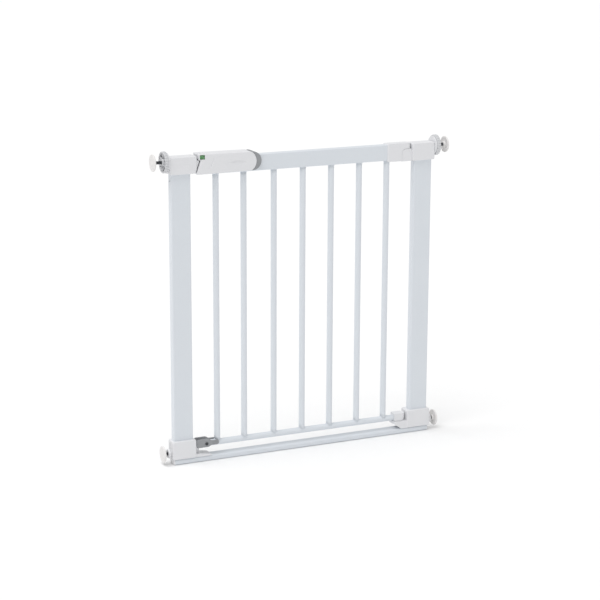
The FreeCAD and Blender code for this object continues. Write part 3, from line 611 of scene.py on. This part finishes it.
# ---- sub-assemblies ----------------------------------------------------------------------
@dataclass
class Housings:
    """Clam housings round the posts."""

    half_deep: float = 17.5  # distance from the middle plane to a face
    wall: float = 2.4  # thickness of the mouldings
    lean: float = 0.347  # how far the keeper's mouth leans per unit of height
    mouth_rise: float = 10.6  # height of the leaning part
    keeper: Box = (-355.0, 721.5, -286.5, 763.0)  # left, bottom, right and top of the keeper housing
    hinge: Box = (292.2, 713.0, 355.0, 757.0)  # left, bottom, right and top of the hinge housing
    left_foot: Box = (-355.0, 14.0, -294.7, 60.0)  # the same of the left foot housing
    right_foot: Box = (290.5, 14.0, 355.0, 60.0)  # the same of the right foot housing
    hole: float = 6.4  # radius left free round a spindle's sleeve
    top_spindles: Pair = (751.0, 747.0)  # heights of the upper spindles, left and right
    foot_spindle: float = 28.0  # height of the lower spindles
    hinge_front: float = 16.2  # the hinge housing's front face, nearly flush with the hinge beside it
    slot_levels: Pair = (50.0, 42.5)  # heights of the foot housings' slots
    blank: Box = (-346.0, 734.0, -303.0, 745.0)  # left, bottom, right and top of the keeper's sunk panel
    blank_deep: float = 0.45  # its depth
    blank_edge: float = 1.6  # width of its edge

    def spindle_hole(self, height: float) -> Drop:
        """Rule that leaves the outer wall open round a spindle.

        Args:
            height: the spindle's height.

        Returns:
            The rule.
        """
        def rule(centres: Array) -> Array:
            """Tell which face centres are in the hole."""
            near = np.hypot(centres[:, 1], centres[:, 2] - height) < self.hole
            return near & (np.abs(centres[:, 0]) > 353.0)
        return rule

    def blank_relief(self, x: Array, z: Array) -> Array:
        """Sunk panel on the keeper's face, with rounded ends.

        The depth falls off smoothly across the panel's outline, a rounded rectangle, over the
        width of its edge.

        Args:
            x: places along the face.
            z: heights.

        Returns:
            Depth in millimetres.
        """
        x0, z0, x1, z1 = self.blank
        radius = 0.45 * min(x1 - x0, z1 - z0)
        out_x = np.maximum(np.abs(x - (x0 + x1) / 2) - (x1 - x0) / 2 + radius, 0)
        out_z = np.maximum(np.abs(z - (z0 + z1) / 2) - (z1 - z0) / 2 + radius, 0)
        share = np.clip(0.5 - (np.hypot(out_x, out_z) - radius) / self.blank_edge, 0, 1)
        return self.blank_deep * share ** 2 * (3 - 2 * share)

    def build_pair(self, name: str, node: str, shell: Shell, front: float, opening: Drop,
                   relief: Optional[Relief] = None) -> None:
        """Make the front and rear halves of a housing.

        Args:
            name: the halves' common name.
            node: the CAD nodes' common name.
            shell: the rear half's shape.
            front: distance of the front face from the middle plane.
            opening: which faces to leave out.
            relief: shape of the front face.
        """
        for half in (replace(shell, face_y=front, side=-1), shell):
            word = "front" if half.side < 0 else "rear"
            piece = half.build(f"{name}_{word}", opening, relief if half.side < 0 else None)
            fit(piece, "frame", "white_plastic", WHITE_MOULDED, f"{node}_{word}")

    def build_keeper(self) -> None:
        """Make the keeper housing, open towards the strike."""
        x0, z0, x1, z1 = self.keeper
        mouth = x1 - self.lean * self.mouth_rise
        low, kink = (mouth, z0), (x1, z0 + self.mouth_rise)
        outline = softened([(x0, z0), low, kink, (x1, z1), (x0, z1)], [4.0, 2.8, 3.0, 2.8, 4.0])
        hole = self.spindle_hole(self.top_spindles[0])

        def opening(centres: Array) -> Array:
            """Tell which face centres are in the hole or the mouth."""
            x, y, z = centres[:, 0], np.abs(centres[:, 1]), centres[:, 2]
            lip = (x > np.minimum(mouth + self.lean * (z - z0), x1) - 0.8) & (y < self.half_deep - 2.9)
            return hole(centres) | (lip & (z > z0 + 3.5) & (z < z1 - 3.5))
        shell = Shell(outline, [(x0, z0), low, (x1, z1), (x0, z1)], self.half_deep, 1, rim=1.8,
                      wall=self.wall)
        self.build_pair("keeper_cover", "keeper_housing", shell, self.half_deep, opening,
                        self.blank_relief)

    def slotted(self, height: float) -> Drop:
        """Rule for a spindle's hole with two slanted slots above it in the rear half.

        A slot is open where |y - 6 - 0.35 (z - its middle)| < 1.8 within 3 mm of its middle.

        Args:
            height: the spindle's height.

        Returns:
            The rule.
        """
        hole = self.spindle_hole(height)

        def rule(centres: Array) -> Array:
            """Tell which face centres are in the hole or a slot."""
            y, z = centres[:, 1], centres[:, 2]
            slots = [(np.abs(y - 6 - 0.35 * (z - level)) < 1.8) & (np.abs(z - level) < 3.0)
                     for level in self.slot_levels]
            return hole(centres) | ((np.abs(centres[:, 0]) > 354.0) & (slots[0] | slots[1]))
        return rule

    def build_box(self, node: str, box: Box, front: float, opening: Drop) -> None:
        """Make a plain housing.

        Args:
            node: the CAD nodes' common name.
            box: left, bottom, right and top.
            front: distance of the front face from the middle plane.
            opening: which faces to leave out.
        """
        x0, z0, x1, z1 = box
        corners = [(x0, z0), (x1, z0), (x1, z1), (x0, z1)]
        shell = Shell(softened(corners, [3.6] * 4), corners, self.half_deep, 1, rim=1.9, wall=self.wall)
        self.build_pair(f"{node}_cover", node, shell, front, opening)

    def build(self) -> None:
        """Make all the housings."""
        self.build_keeper()
        self.build_box("hinge_housing", self.hinge, self.hinge_front,
                       self.spindle_hole(self.top_spindles[1]))
        foot = self.slotted(self.foot_spindle)
        self.build_box("left_foot_housing", self.left_foot, self.half_deep, foot)
        self.build_box("right_foot_housing", self.right_foot, self.half_deep, foot)


@dataclass
class DoorPanel:
    """Bars, bottom rail and weld beads of the door."""

    bar_radius: float = 7.5
    rail_radius: float = 7.6  # radius of the bottom rail
    rail_height: float = 42.0  # height of its middle
    rail_ends: Pair = (-258.0, 256.0)  # its two ends
    rail_wall: float = 1.0  # thickness of its wall
    bar_top: float = 716.5  # underside of the top rail
    centres: tuple[float, ...] = (-232.5, -160.0, -80.0, -2.5, 74.2, 151.0, 227.4)  # places of the bars
    bead: float = 1.1  # radius of a weld bead
    ripple: float = 0.12  # height of the bead's ripples

    def saddle(self, y: Array) -> Array:
        """Height of the bottom rail's surface above the line at distance y from the middle plane."""
        return self.rail_height + np.sqrt(np.maximum(self.rail_radius ** 2 - y ** 2, 1.0))

    def bar(self, number: int, x: float) -> Piece:
        """Tube whose foot follows the rail under it: z_foot = rail height + sqrt(R^2 - y^2).

        Args:
            number: counted from the latch side.
            x: its place.

        Returns:
            The object.
        """
        angle = np.linspace(0, TURN, 48, endpoint=False)
        y = self.bar_radius * np.sin(angle)
        foot = self.saddle(y) + 0.05
        share = np.array([0.0, 0.02, 0.5, 0.98, 1.0])[:, None]
        height = foot[None] + share * (self.bar_top - 0.05 - foot[None])
        rings = np.stack([np.broadcast_to(x + self.bar_radius * np.cos(angle), height.shape),
                          np.broadcast_to(y, height.shape), height], -1)
        return stacked(f"bar_tube_{number}", rings)

    def bead_round(self, name: str, x: float, height: Callable[[Array], Array], lift: float) -> Piece:
        """Weld bead round a bar: a thin tube carried along the seam, its radius rippling 36 times.

        Args:
            name: the piece's name.
            x: the bar's place.
            height: the seam's height as a function of y.
            lift: how far the bead's middle is from the seam.

        Returns:
            The object.
        """
        along = np.linspace(0, TURN, 216, endpoint=False)[:, None]
        around = np.linspace(0, TURN, 10, endpoint=False)[None, :]
        radius = self.bead + self.ripple * np.cos(36 * along)
        reach = self.bar_radius + 0.1 + radius * np.cos(around)
        y = reach * np.sin(along)
        seam = height(self.bar_radius * np.sin(along))
        rings = np.stack([x + reach * np.cos(along), y, seam + lift + radius * np.sin(around)], -1)
        return stacked(name, rings, looped=True)

    def build(self) -> None:
        """Make the bars, their beads and the bottom rail."""
        for number, x in enumerate(self.centres, 1):
            foot = self.bead_round("foot", x, self.saddle, 0.2)
            head = self.bead_round("head", x, lambda y: np.full_like(y, self.bar_top), -0.6)
            fit(self.bar(number, x), "door", "white_powder_coat", POWDER_COAT, f"bar_{number}")
            fit(joined(f"bar_welds_{number}", [foot, head]), "door", "white_powder_coat", POWDER_COAT)
        x0, x1 = self.rail_ends
        radius = self.rail_radius
        bore, edge = radius - self.rail_wall, radius - 0.3
        profile = np.array([(x0, bore), (x0, edge), (x0 + 0.3, radius), (x0 + 2, radius), (x1 - 2, radius),
                            (x1 - 0.3, radius), (x1, edge), (x1, bore)])
        rail = lathe("bottom_rail_tube", profile, self.rail_height, 1.0, bored=True)
        fit(rail, "door", "white_powder_coat", POWDER_COAT, "bottom_rail")


@dataclass
class LatchHandle:
    """Handle over the rail's latch end, its indicator bezels and the grip on the slide button."""

    bottom: float = 718.5  # lower edge
    top: float = 767.0  # upper edge
    half_deep: float = 20.0  # distance from the middle plane to a face
    base: float = -288.9  # where the leaning face would meet the rail's underside
    rail_bottom: float = 716.5  # height that the lean is counted from
    lean: float = 0.347  # how far the face leans per unit of height
    end_top: Pair = (-147.0, 765.8)  # upper end of the rounded end
    end_tip: Pair = (-132.8, 743.5)
    end_bottom: Pair = (-146.0, 719.5)  # its lower end
    nose: Box = (-282.0, 752.8, -262.0, 767.0)  # left, bottom, right and top of the indicator's nose
    window: Box = (-280.0, 754.6, -267.0, 765.4)  # left, bottom, right and top of its window
    # Lower and upper edge and half depth of the bolt's hole.
    bolt: tuple[float, float, float] = (736.6, 751.4, 6.9)
    # Lower and upper edge and half depth of the opening for the rail.
    rail_hole: tuple[float, float, float] = (716.4, 757.2, 12.9)
    corner: float = 4.2  # how far from a corner its rounding starts
    rim: float = 1.7  # radius between a face and the wall
    button_face: float = 19.0  # distance of the slide button's faces from the middle plane
    # Left end, length, height, half height and depth of the finger dish.
    dish: tuple[float, ...] = (-207.0, 49.0, 741.0, 5.0, 3.0)
    line: tuple[Pair, Pair] = ((-254.4, 733.0), (13.0, 25.0))  # foot and run of the leaning line
    lip_gap: float = 5.2  # distance of the lip from the rounded end
    # Three points of the grip's inner arc.
    grip_inner: tuple[Pair, Pair, Pair] = ((-143.6, 723.0), (-131.4, 743.2), (-144.2, 762.2))
    # Three points of its outer arc.
    grip_outer: tuple[Pair, Pair, Pair] = ((-141.4, 722.4), (-121.4, 742.8), (-142.4, 763.0))

    def face_x(self, height: float) -> float:
        """Place of the leaning face at a height."""
        return self.base + self.lean * (height - self.rail_bottom)

    def outline(self) -> Array:
        """Side view: straight top, bottom and leaning end, with the other end an arc.

        Returns:
            Closed outline of (x, z).
        """
        low = (self.face_x(self.bottom), self.bottom)
        high = (self.face_x(self.top), self.top)
        arc = arc_through(self.end_bottom, self.end_tip, self.end_top, 48)
        return worn(np.vstack([[low], arc, [high]]), self.corner)

    def relief(self, x: Array, z: Array) -> Array:
        """Depth of the front face below its plane.

        The finger dish is a leaf: with u along it from 0 to 1 its half height is
        half (sin pi u)^0.7, and with v up it from -1 to 1 its depth is
        deep (sin pi u) (1 - v^2)^0.4 (0.55 + 0.45 v). The line and the lip are grooves whose
        depth falls off as exp(-(distance / width)^2). The ground under the bezel is lower.

        Args:
            x: places along the handle.
            z: heights.

        Returns:
            Depth in millimetres.
        """
        left, long, level, half, deep = self.dish
        u = np.clip((x - left) / long, 0, 1)
        tall = half * np.sin(math.pi * u) ** 0.7 + 0.01
        v = np.clip((z - level + 0.05 * (x + 182)) / tall, -1, 1)
        dish = deep * np.sin(math.pi * u) * (1 - v ** 2) ** 0.4 * (0.55 + 0.45 * v)
        (foot_x, foot_z), (run_x, run_z) = self.line
        share = ((x - foot_x) * run_x + (z - foot_z) * run_z) / (run_x ** 2 + run_z ** 2)
        share = np.clip(share, 0, 1)
        off = np.hypot(x - foot_x - run_x * share, z - foot_z - run_z * share)
        line = 0.9 * np.exp(-(off / 0.9) ** 2)
        centre, radius = circle_through(self.end_bottom, self.end_tip, self.end_top)
        gap = radius - np.hypot(x - centre[0], z - centre[1])
        lip = 0.35 * np.exp(-((gap - self.lip_gap) / 0.8) ** 2) * (x > self.end_bottom[0] - 14)
        bezel = 0.12 * ((x < self.nose[2] + 0.3) & (z > self.nose[1] - 0.3))
        return dish + line + lip + bezel

    def openings(self, centres: Array) -> Array:
        """Which faces to leave out: the bolt's hole, the rail's opening and the indicator.

        Args:
            centres: face centres.

        Returns:
            True where a face is left out.
        """
        x, y, z = centres[:, 0], np.abs(centres[:, 1]), centres[:, 2]
        bolt = (x < -265) & (y < self.bolt[2]) & (z > self.bolt[0]) & (z < self.bolt[1])
        rail = (x > -172) & (y < self.rail_hole[2]) & (z > self.rail_hole[0]) & (z < self.rail_hole[1])
        flag = (x < self.nose[2] - 3.5) & (z > self.nose[1] + 1.1) & (z < self.top - 1.0)
        return bolt | rail | flag

    def bezel(self, side: int) -> Piece:
        """Half of the nose: a box with rounded rims and the window's opening in its face.

        Its rings go from the joint along the wall, over the rim (in by rim (1 - cos a)), across
        the face to the window's edge and in through the wall's thickness.

        Args:
            side: -1 for the front, 1 for the rear.

        Returns:
            The object.
        """
        rings = []
        for (x0, z0, x1, z1), radius in ((self.nose, 1.8), (self.window, 0.6)):
            corners = [(x0, z0), (x1, z0), (x1, z1), (x0, z1)]
            rings.append(four_sided(softened(corners, [radius] * 4), corners, 20, 14))
        outer, inner = rings
        rim, face = 1.4, self.half_deep
        angle = np.linspace(0, math.pi / 2, 6)
        loops = [inset(outer, 0.3), outer] + [inset(outer, rim * (1 - math.cos(a))) for a in angle]
        loops += [inset(inner, -0.25), inner, inner]
        depth = [0.0, 0.5, *(face - rim + rim * np.sin(angle)), face, face - 0.25, face - 2.0]
        stack = np.stack(loops)
        y = np.repeat(np.array(depth)[:, None] * side, len(outer), 1)
        name = f"indicator_bezel_{'front' if side < 0 else 'rear'}"
        return stacked(name, np.stack([stack[..., 0], y, stack[..., 1]], -1), capped=False)

    def grip(self, side: int) -> Piece:
        """Ribbed facing on the slide button's crescent.

        With s along the crescent from its lower to its upper horn and t from its inner to its
        outer arc, the point is the mix of the two arcs by t. It stands above the button's face
        by 0.25 mm and 0.28 mm times a wave of three ribs in t, fading at the edges.

        Args:
            side: -1 for the front, 1 for the rear.

        Returns:
            The object.
        """
        steps, ribs = 72, 28
        inner, outer = arc_through(*self.grip_inner, steps), arc_through(*self.grip_outer, steps)
        s = np.linspace(0, 1, steps)[:, None]
        t = np.linspace(0, 1, ribs)[None, :]
        plan = (1 - t[..., None]) * inner[:, None] + t[..., None] * outer[:, None]
        fade = np.sin(math.pi * s) ** 0.5 * np.sin(math.pi * t) ** 0.35
        height = 0.02 + fade * (0.25 + 0.28 * np.cos(6 * math.pi * (t - 0.5)))
        top = np.stack([plan[..., 0], side * (self.button_face + height), plan[..., 1]], -1).reshape(-1, 3)
        base = top * (1, 0, 1) + (0, side * (self.button_face - 0.4), 0)
        ids = np.arange(steps * ribs).reshape(steps, ribs)
        edge = np.concatenate([ids[0], ids[1:, -1], ids[-1, -2::-1], ids[-2:0:-1, 0]])
        below = edge + steps * ribs
        rim = np.stack([edge, np.roll(edge, -1), np.roll(below, -1), below], -1)
        face = patch_faces(ids)
        faces = np.vstack([face, face[:, ::-1] + steps * ribs, rim[:, ::-1]])
        points = np.vstack([top, base])
        name = f"button_grip_{'front' if side < 0 else 'rear'}"
        return make_piece(name, points, outward(points, faces).tolist())

    def build(self) -> None:
        """Make the handle's halves, bezels and grips."""
        corners = [(self.face_x(self.bottom), self.bottom), self.end_bottom, self.end_top,
                   (self.face_x(self.top), self.top)]
        for name, side in (("front", -1), ("rear", 1)):
            shell = Shell(self.outline(), corners, self.half_deep, side, rim=self.rim, wall=1.9, across=168,
                          up=56)
            piece = shell.build(f"handle_half_{name}", self.openings, self.relief)
            fit(piece, "door", "white_plastic", WHITE_MOULDED, f"handle_{name}_shell")
            fit(self.bezel(side), "door", "white_plastic", WHITE_MOULDED)
            fit(self.grip(side), "slider", "grey_plastic", GREY_MOULDED)


@dataclass
class StopLever:
    """Lever that straddles the foot tongue."""

    inner: float = 8.4  # inner face's distance from the middle plane
    outer: float = 12.8  # outer face's distance
    pivot: Pair = (-265.5, 44.0)  # place of its rivet
    ridges: int = 5  # number of thumb ridges
    ridge_start: float = -249.0  # place of the first
    ridge_step: float = 3.0  # distance between them
    ridge_heights: Pair = (41.0, 49.0)  # their lower and upper end

    def build(self, name: str, side: int) -> None:
        """Make a lever with its thumb ridges and the boss round its rivet.

        Args:
            name: "front" or "rear".
            side: -1 or 1.
        """
        corners = [(-292, 35), (-259, 35), (-253, 39.2), (-232.5, 39.2), (-232.5, 50.8), (-253, 51.0),
                   (-259, 56), (-292, 56)]
        outline = softened(corners, [8, 3.2, 3.2, 5.4, 5.4, 3.0, 4.4, 8], 12)
        face = side * self.outer
        parts = [moulded_plate("lever", outline, side * self.inner, face - side * 0.35, 1.0)]
        low, high = self.ridge_heights
        for place in self.ridge_start + self.ridge_step * np.arange(self.ridges):
            left, right = place - 0.7, place + 0.7
            bar = softened([(left, low), (right, low), (right, high), (left, high)], [0.6] * 4, 5)
            parts.append(moulded_plate("ridge", bar, face - side * 1.2, face, 0.3))
        x, z = self.pivot
        boss = softened([(x - 5.5, z - 5.5), (x + 5.5, z - 5.5), (x + 5.5, z + 5.5), (x - 5.5, z + 5.5)],
                        [5.4] * 4, 12)
        parts.append(moulded_plate("boss", boss, face - side * 1.2, face - side * 0.05, 0.3))
        piece = joined(f"{name}_lever_moulding", parts)
        fit(piece, f"{name}_stop_lever", "grey_plastic", GREY_MOULDED, f"{name}_stop_lever")


@dataclass
class LatchSpring:
    """Compression spring round the latch's plate."""

    ends: Pair = (-255.6, -215.4)  # its two ends along X
    height: float = 744.0  # height of its axis
    radius: float = 7.0  # radius of the coil's middle line
    wire: float = 0.6
    turns: int = 9  # number of turns
    travel: float = 11.5  # how far the latch's slider pushes it

    def build(self) -> None:
        """Make the coil.

        A wire of radius w follows the helix: at turn angle a and wire angle b the reach from the
        axis is R + w cos b, and the point lies w sin b along X from the middle line.
        """
        x0, x1 = self.ends
        angle = np.linspace(0, TURN * self.turns, self.turns * 40 + 1)[:, None]
        around = np.linspace(0, TURN, 10, endpoint=False)[None, :]
        reach = self.radius + self.wire * np.cos(around)
        x = x0 + self.wire + (x1 - x0 - 2 * self.wire) * angle / angle[-1] + self.wire * np.sin(around)
        rings = np.stack([x, reach * np.sin(angle), self.height + reach * np.cos(angle)], -1)
        piece = stacked("coil_spring", rings)
        fit(piece, "door", "zinc_steel", ZINC, "latch_spring")
        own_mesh(piece)


class NutKind(Enum):
    """Which nut a spindle has."""

    HANDWHEEL = "handwheel"
    SMALL = "nut"


@dataclass
class WallSpindle:
    """Threaded rod with its wall pad and nut."""

    name: str  # "top_left" and so on
    side: int  # -1 for the latch side, 1 for the hinge side
    height: float  # the rod's height
    face: float  # distance of the pad's face from the middle
    nut: NutKind  # which nut it has
    rod_radius: float = 4.0  # crest radius of the thread
    rod_length: float = 70.0
    pitch: float = 1.25  # the thread's pitch
    pad_radius: float = 20.5
    pad_thick: float = 4.3  # thickness of the pad
    boss: Pair = (4.0, 7.0)  # length and radius of the boss behind the pad
    # Near face, far face and radius of the handwheel.
    wheel: tuple[float, float, float] = (359.3, 369.8, 26.0)
    notches: int = 24  # number of notches in its rim
    notch: float = 1.6  # their depth
    ribs: int = 6  # number of its ribs
    # Near face, far face and half width over flats of the small nut.
    small: tuple[float, float, float] = (357.3, 364.3, 11.0)

    def rod(self) -> Piece:
        """Rolled thread: radius = crest - 0.62 |triangle wave| of (x / pitch - angle / turn).

        Returns:
            The object.
        """
        end = self.face - 2.5
        along = np.linspace(end - self.rod_length, end, 449)[:, None]
        angle = np.linspace(0, TURN, 28, endpoint=False)[None, :]
        phase = along / self.pitch - angle / (2 * math.pi)
        groove = 1 - np.abs(2 * (phase - np.floor(phase)) - 1)
        radius = self.rod_radius - 0.62 * groove
        ends = np.minimum(np.minimum(along - along[0], along[-1] - along), 1.0)
        radius = radius - 0.8 * (1 - ends)
        rings = np.stack([np.broadcast_to(self.side * along, radius.shape), radius * np.cos(angle),
                          self.height + radius * np.sin(angle)], -1)
        return stacked(f"{self.name}_threaded_rod", rings)

    def pad(self) -> Piece:
        """Pad turned in one piece: boss, dished back, beaded rim and a face with three grooves.

        Returns:
            The object.
        """
        back = self.face - self.pad_thick
        radius = self.pad_radius
        t = np.linspace(0, math.pi / 2, 7)
        rim_front = np.stack([self.face - 1.5 + 1.5 * np.sin(t), radius - 1.5 + 1.5 * np.cos(t)], 1)
        reach = np.linspace(radius - 1.8, 2.0, 90)
        ripple = 0.35 * np.exp(-((np.mod(reach, 5.0) - 2.5) / 0.55) ** 2)
        front = np.stack([self.face - ripple * (reach > 4), reach], 1)
        long, thick = self.boss
        boss = np.array([
            (back - long, self.rod_radius + 0.1), (back - long, thick - 0.6), (back - long + 0.6, thick),
            (back - 0.6, thick), (back - 0.1, thick + 0.6), (back + 0.25, thick + 2),
            (back + 0.25, radius - 4), (back, radius - 2.6)])
        side_rim = np.array([(back, radius - 1.3)])
        soft = np.stack([back + 1.3 * (1 - np.cos(t)), radius - 1.3 + 1.3 * np.sin(t)], 1)
        profile = np.vstack([boss, side_rim, soft, rim_front, front])
        return lathe(f"{self.name}_wall_pad", profile, self.height, self.side, steps=96)

    def handwheel(self) -> Piece:
        """Handwheel: a cup-shaped rim with 24 notches, a hub and six ribs.

        The rim's radius is cut by the notch's depth times the 8th power of
        |cos(notches / 2 . angle)|.

        Returns:
            The object.
        """
        near, far, radius = self.wheel
        rim = far - 1.5
        bore = self.rod_radius + 0.05
        profile = np.array([
            (near, bore), (near, 8.0), (near, 15.0), (near, radius - 1.2), (near + 0.4, radius - 0.4),
            (near + 1.2, radius), ((near + rim) / 2, radius), (rim - 1.2, radius),
            (rim - 0.4, radius - 0.4), (rim, radius - 1.2), (rim, radius - 3.8),
            (rim - 0.5, radius - 4.4), (near + 3.0, radius - 4.6),
            (near + 2.5, radius - 5.2), (near + 2.5, 9.6), (near + 3.0, 8.7), (far - 0.6, 8.5), (far, 7.9),
            (far, bore + 0.4), (far - 0.4, bore)])

        def notched(angle: Array, ring: Array) -> Array:
            """Radius with the notches cut."""
            depth = self.notch * np.abs(np.cos(self.notches / 2 * angle)) ** 8
            return ring - depth * (ring > radius - 2.0)
        body = lathe("wheel", profile, self.height, self.side, steps=288, bored=True, trim=notched)
        ribs = [self.rib(TURN * number / self.ribs, near + 2.0, rim - 1.2, 8.0, radius - 4.0)
                for number in range(self.ribs)]
        return joined(f"{self.name}_ribbed_handwheel", [body] + ribs)

    def rib(self, turn: float, near: float, far: float, low: float, high: float) -> Piece:
        """Rib from the hub to the rim: a tapered box with a rounded back.

        Args:
            turn: its angle about the rod.
            near: its foot on the web.
            far: its back.
            low: radius where it starts.
            high: radius where it ends.

        Returns:
            The object.
        """
        width = np.array([[-1.3, -1.15, -0.7, 0.7, 1.15, 1.3]])
        depth = np.array([[near, far - 0.5, far, far, far - 0.5, near]])
        reach = np.array([[low], [high]])
        y = width * math.cos(turn) - reach * math.sin(turn)
        z = width * math.sin(turn) + reach * math.cos(turn) + self.height
        x = np.broadcast_to(self.side * depth, y.shape)
        return stacked("rib", np.stack([x, y, z], -1))

    def small_nut(self) -> Piece:
        """Nut with eight flats: radius = half width / cos(angle from the nearest flat's middle).

        Returns:
            The object.
        """
        near, far, half = self.small
        bore = self.rod_radius + 0.05
        profile = np.array([(near, bore), (near, half - 1.4), (near + 0.5, half - 0.3), (near + 0.9, half),
                            (far - 0.9, half), (far - 0.5, half - 0.3), (far, half - 1.4),
                            (far, half - 2.6), (far - 0.5, half - 3.2), (far - 0.5, bore + 0.6),
                            (far - 0.8, bore)])

        def flats(angle: Array, ring: Array) -> Array:
            """Radius drawn out to the flats' corners."""
            step = math.pi / 4
            off = np.mod(angle + step / 2, step) - step / 2
            return np.where(ring > half - 2.0, ring / np.cos(off) ** 0.93, ring)
        return lathe(f"{self.name}_small_nut", profile, self.height, self.side, steps=128, bored=True,
                     trim=flats)

    def build(self) -> None:
        """Make the rod, the pad and the nut."""
        spindle = f"{self.name}_spindle"
        fit(self.rod(), spindle, "dark_steel", BLACK_STEEL, f"{self.name}_rod")
        fit(self.pad(), spindle, "pad_plastic", PAD_RUBBER, f"{self.name}_pad")
        if self.nut is NutKind.HANDWHEEL:
            fit(self.handwheel(), f"{self.name}_nut", "white_plastic", WHEEL_MOULDED,
                f"{self.name}_handwheel")
        else:
            nut = f"{self.name}_nut"
            fit(self.small_nut(), nut, "white_plastic", WHITE_MOULDED, nut)


@dataclass
class CadNodes:
    """CAD nodes that are shown as they are, in their finishes."""

    coated: tuple[str, ...] = ("left_post", "right_post", "threshold_bar", "top_rail")
    moulded: tuple[str, ...] = (
        "threshold_plugs", "keeper_strike", "upper_hinge_knuckle", "closing_ramp", "lower_hinge_cradle",
        "spindle_guides", "hinge_cover_front", "hinge_cover_rear", "lower_hinge_cap", "rail_end_cap",
        "spring_stop")
    plated: tuple[str, ...] = ("frame_screws", "door_screws", "button_pin", "slide_plate", "latch_bolt",
                               "upper_hinge_pin", "lower_hinge_pin")

    def build(self) -> None:
        """Dress them."""
        dress(POWDER_COAT, *self.coated)
        dress(WHITE_MOULDED, *self.moulded)
        dress(ZINC, *self.plated)
        dress(GREY_MOULDED, "slide_button")
        dress(RIVET, "stop_lever_pin")
        dress(GREEN_FLAG, "indicator_shutter")
        dress(RED_FLAG, "indicator_backing")
        dress(CLEAR_PANE, "indicator_windows")


# ---- studio ------------------------------------------------------------------------------
@dataclass
class Studio:
    """Pale floor, white surroundings, soft lamps and the camera."""

    eye: tuple[float, float, float] = (-1.8797, -4.0703, 1.4941)  # the camera's place in metres
    yaw: float = 24.691  # degrees to the right of +Y
    pitch: float = 13.953  # degrees down
    roll: float = 0.250  # degrees anticlockwise
    lens: float = 111.46  # focal length on a 36 mm sensor
    sky: float = 0.66  # brightness of the surroundings
    overhead: float = 1.5  # strength of the lamp
    spread: float = 50.0  # its width in degrees
    lamp_from: tuple[float, float, float] = (-0.38, -0.12, 0.92)  # direction towards it

    def camera(self) -> None:
        """Set up the camera."""
        data = bpy.data.cameras.new("camera")
        data.lens = self.lens
        data.sensor_width = 36.0
        data.clip_end = 50.0
        camera = bpy.data.objects.new("camera", data)
        turn = (Matrix.Rotation(math.radians(-self.yaw), 3, "Z")
                @ Matrix.Rotation(math.radians(90 - self.pitch), 3, "X")
                @ Matrix.Rotation(math.radians(self.roll), 3, "Z"))
        camera.location = self.eye
        camera.rotation_euler = turn.to_euler()
        bpy.context.collection.objects.link(camera)
        bpy.context.scene.camera = camera

    def lamp(self) -> None:
        """Add a broad, soft lamp far above, a little to the latch side and to the front."""
        data = bpy.data.lights.new("overhead", "SUN")
        data.energy = self.overhead
        data.angle = math.radians(self.spread)
        lamp = bpy.data.objects.new("overhead", data)
        lamp.rotation_euler = Vector(self.lamp_from).to_track_quat("Z", "Y").to_euler()
        bpy.context.collection.objects.link(lamp)

    def floor(self) -> None:
        """Lay a pale floor."""
        half = 30000.0
        points = np.array([(-half, -half, 0), (half, -half, 0), (half, half, 0), (-half, half, 0)], float)
        floor = make_piece("floor", points, [[0, 1, 2, 3]], smooth=False)
        paint = Finish("studio_floor_matt_paint", "FAFAFA", "F8F8F8", 0.85, 0.03, Grain.ORANGE_PEEL, 4.0,
                       0.01)
        floor.data.materials.append(paint.material())

    def build(self) -> None:
        """Set up the whole studio."""
        world = bpy.data.worlds.new("studio")
        world.use_nodes = True
        world.node_tree.nodes["Background"].inputs["Color"].default_value = (1, 1, 1, 1)
        world.node_tree.nodes["Background"].inputs["Strength"].default_value = self.sky
        bpy.context.scene.world = world
        bpy.context.scene.view_settings.view_transform = "Standard"
        self.camera()
        self.lamp()
        self.floor()


# Name, side, height, pad's face and nut of each spindle.
SPINDLES = (("top_left", -1, 751.0, 394.0, NutKind.HANDWHEEL),
            ("top_right", 1, 747.0, 394.0, NutKind.HANDWHEEL),
            ("foot_left", -1, 28.0, 378.0, NutKind.SMALL),
            ("foot_right", 1, 28.0, 378.0, NutKind.SMALL))


def main() -> None:
    """Build every sub-assembly in order and note the sizes."""
    logging.basicConfig(level=logging.INFO, format="%(name)s: %(message)s")
    CadNodes().build()
    Housings().build()
    DoorPanel().build()
    LatchHandle().build()
    LatchSpring().build()
    for name, side in (("front", -1), ("rear", 1)):
        StopLever().build(name, side)
    for row in SPINDLES:
        WallSpindle(*row).build()
    Studio().build()


if __name__ == "__main__":
    main()
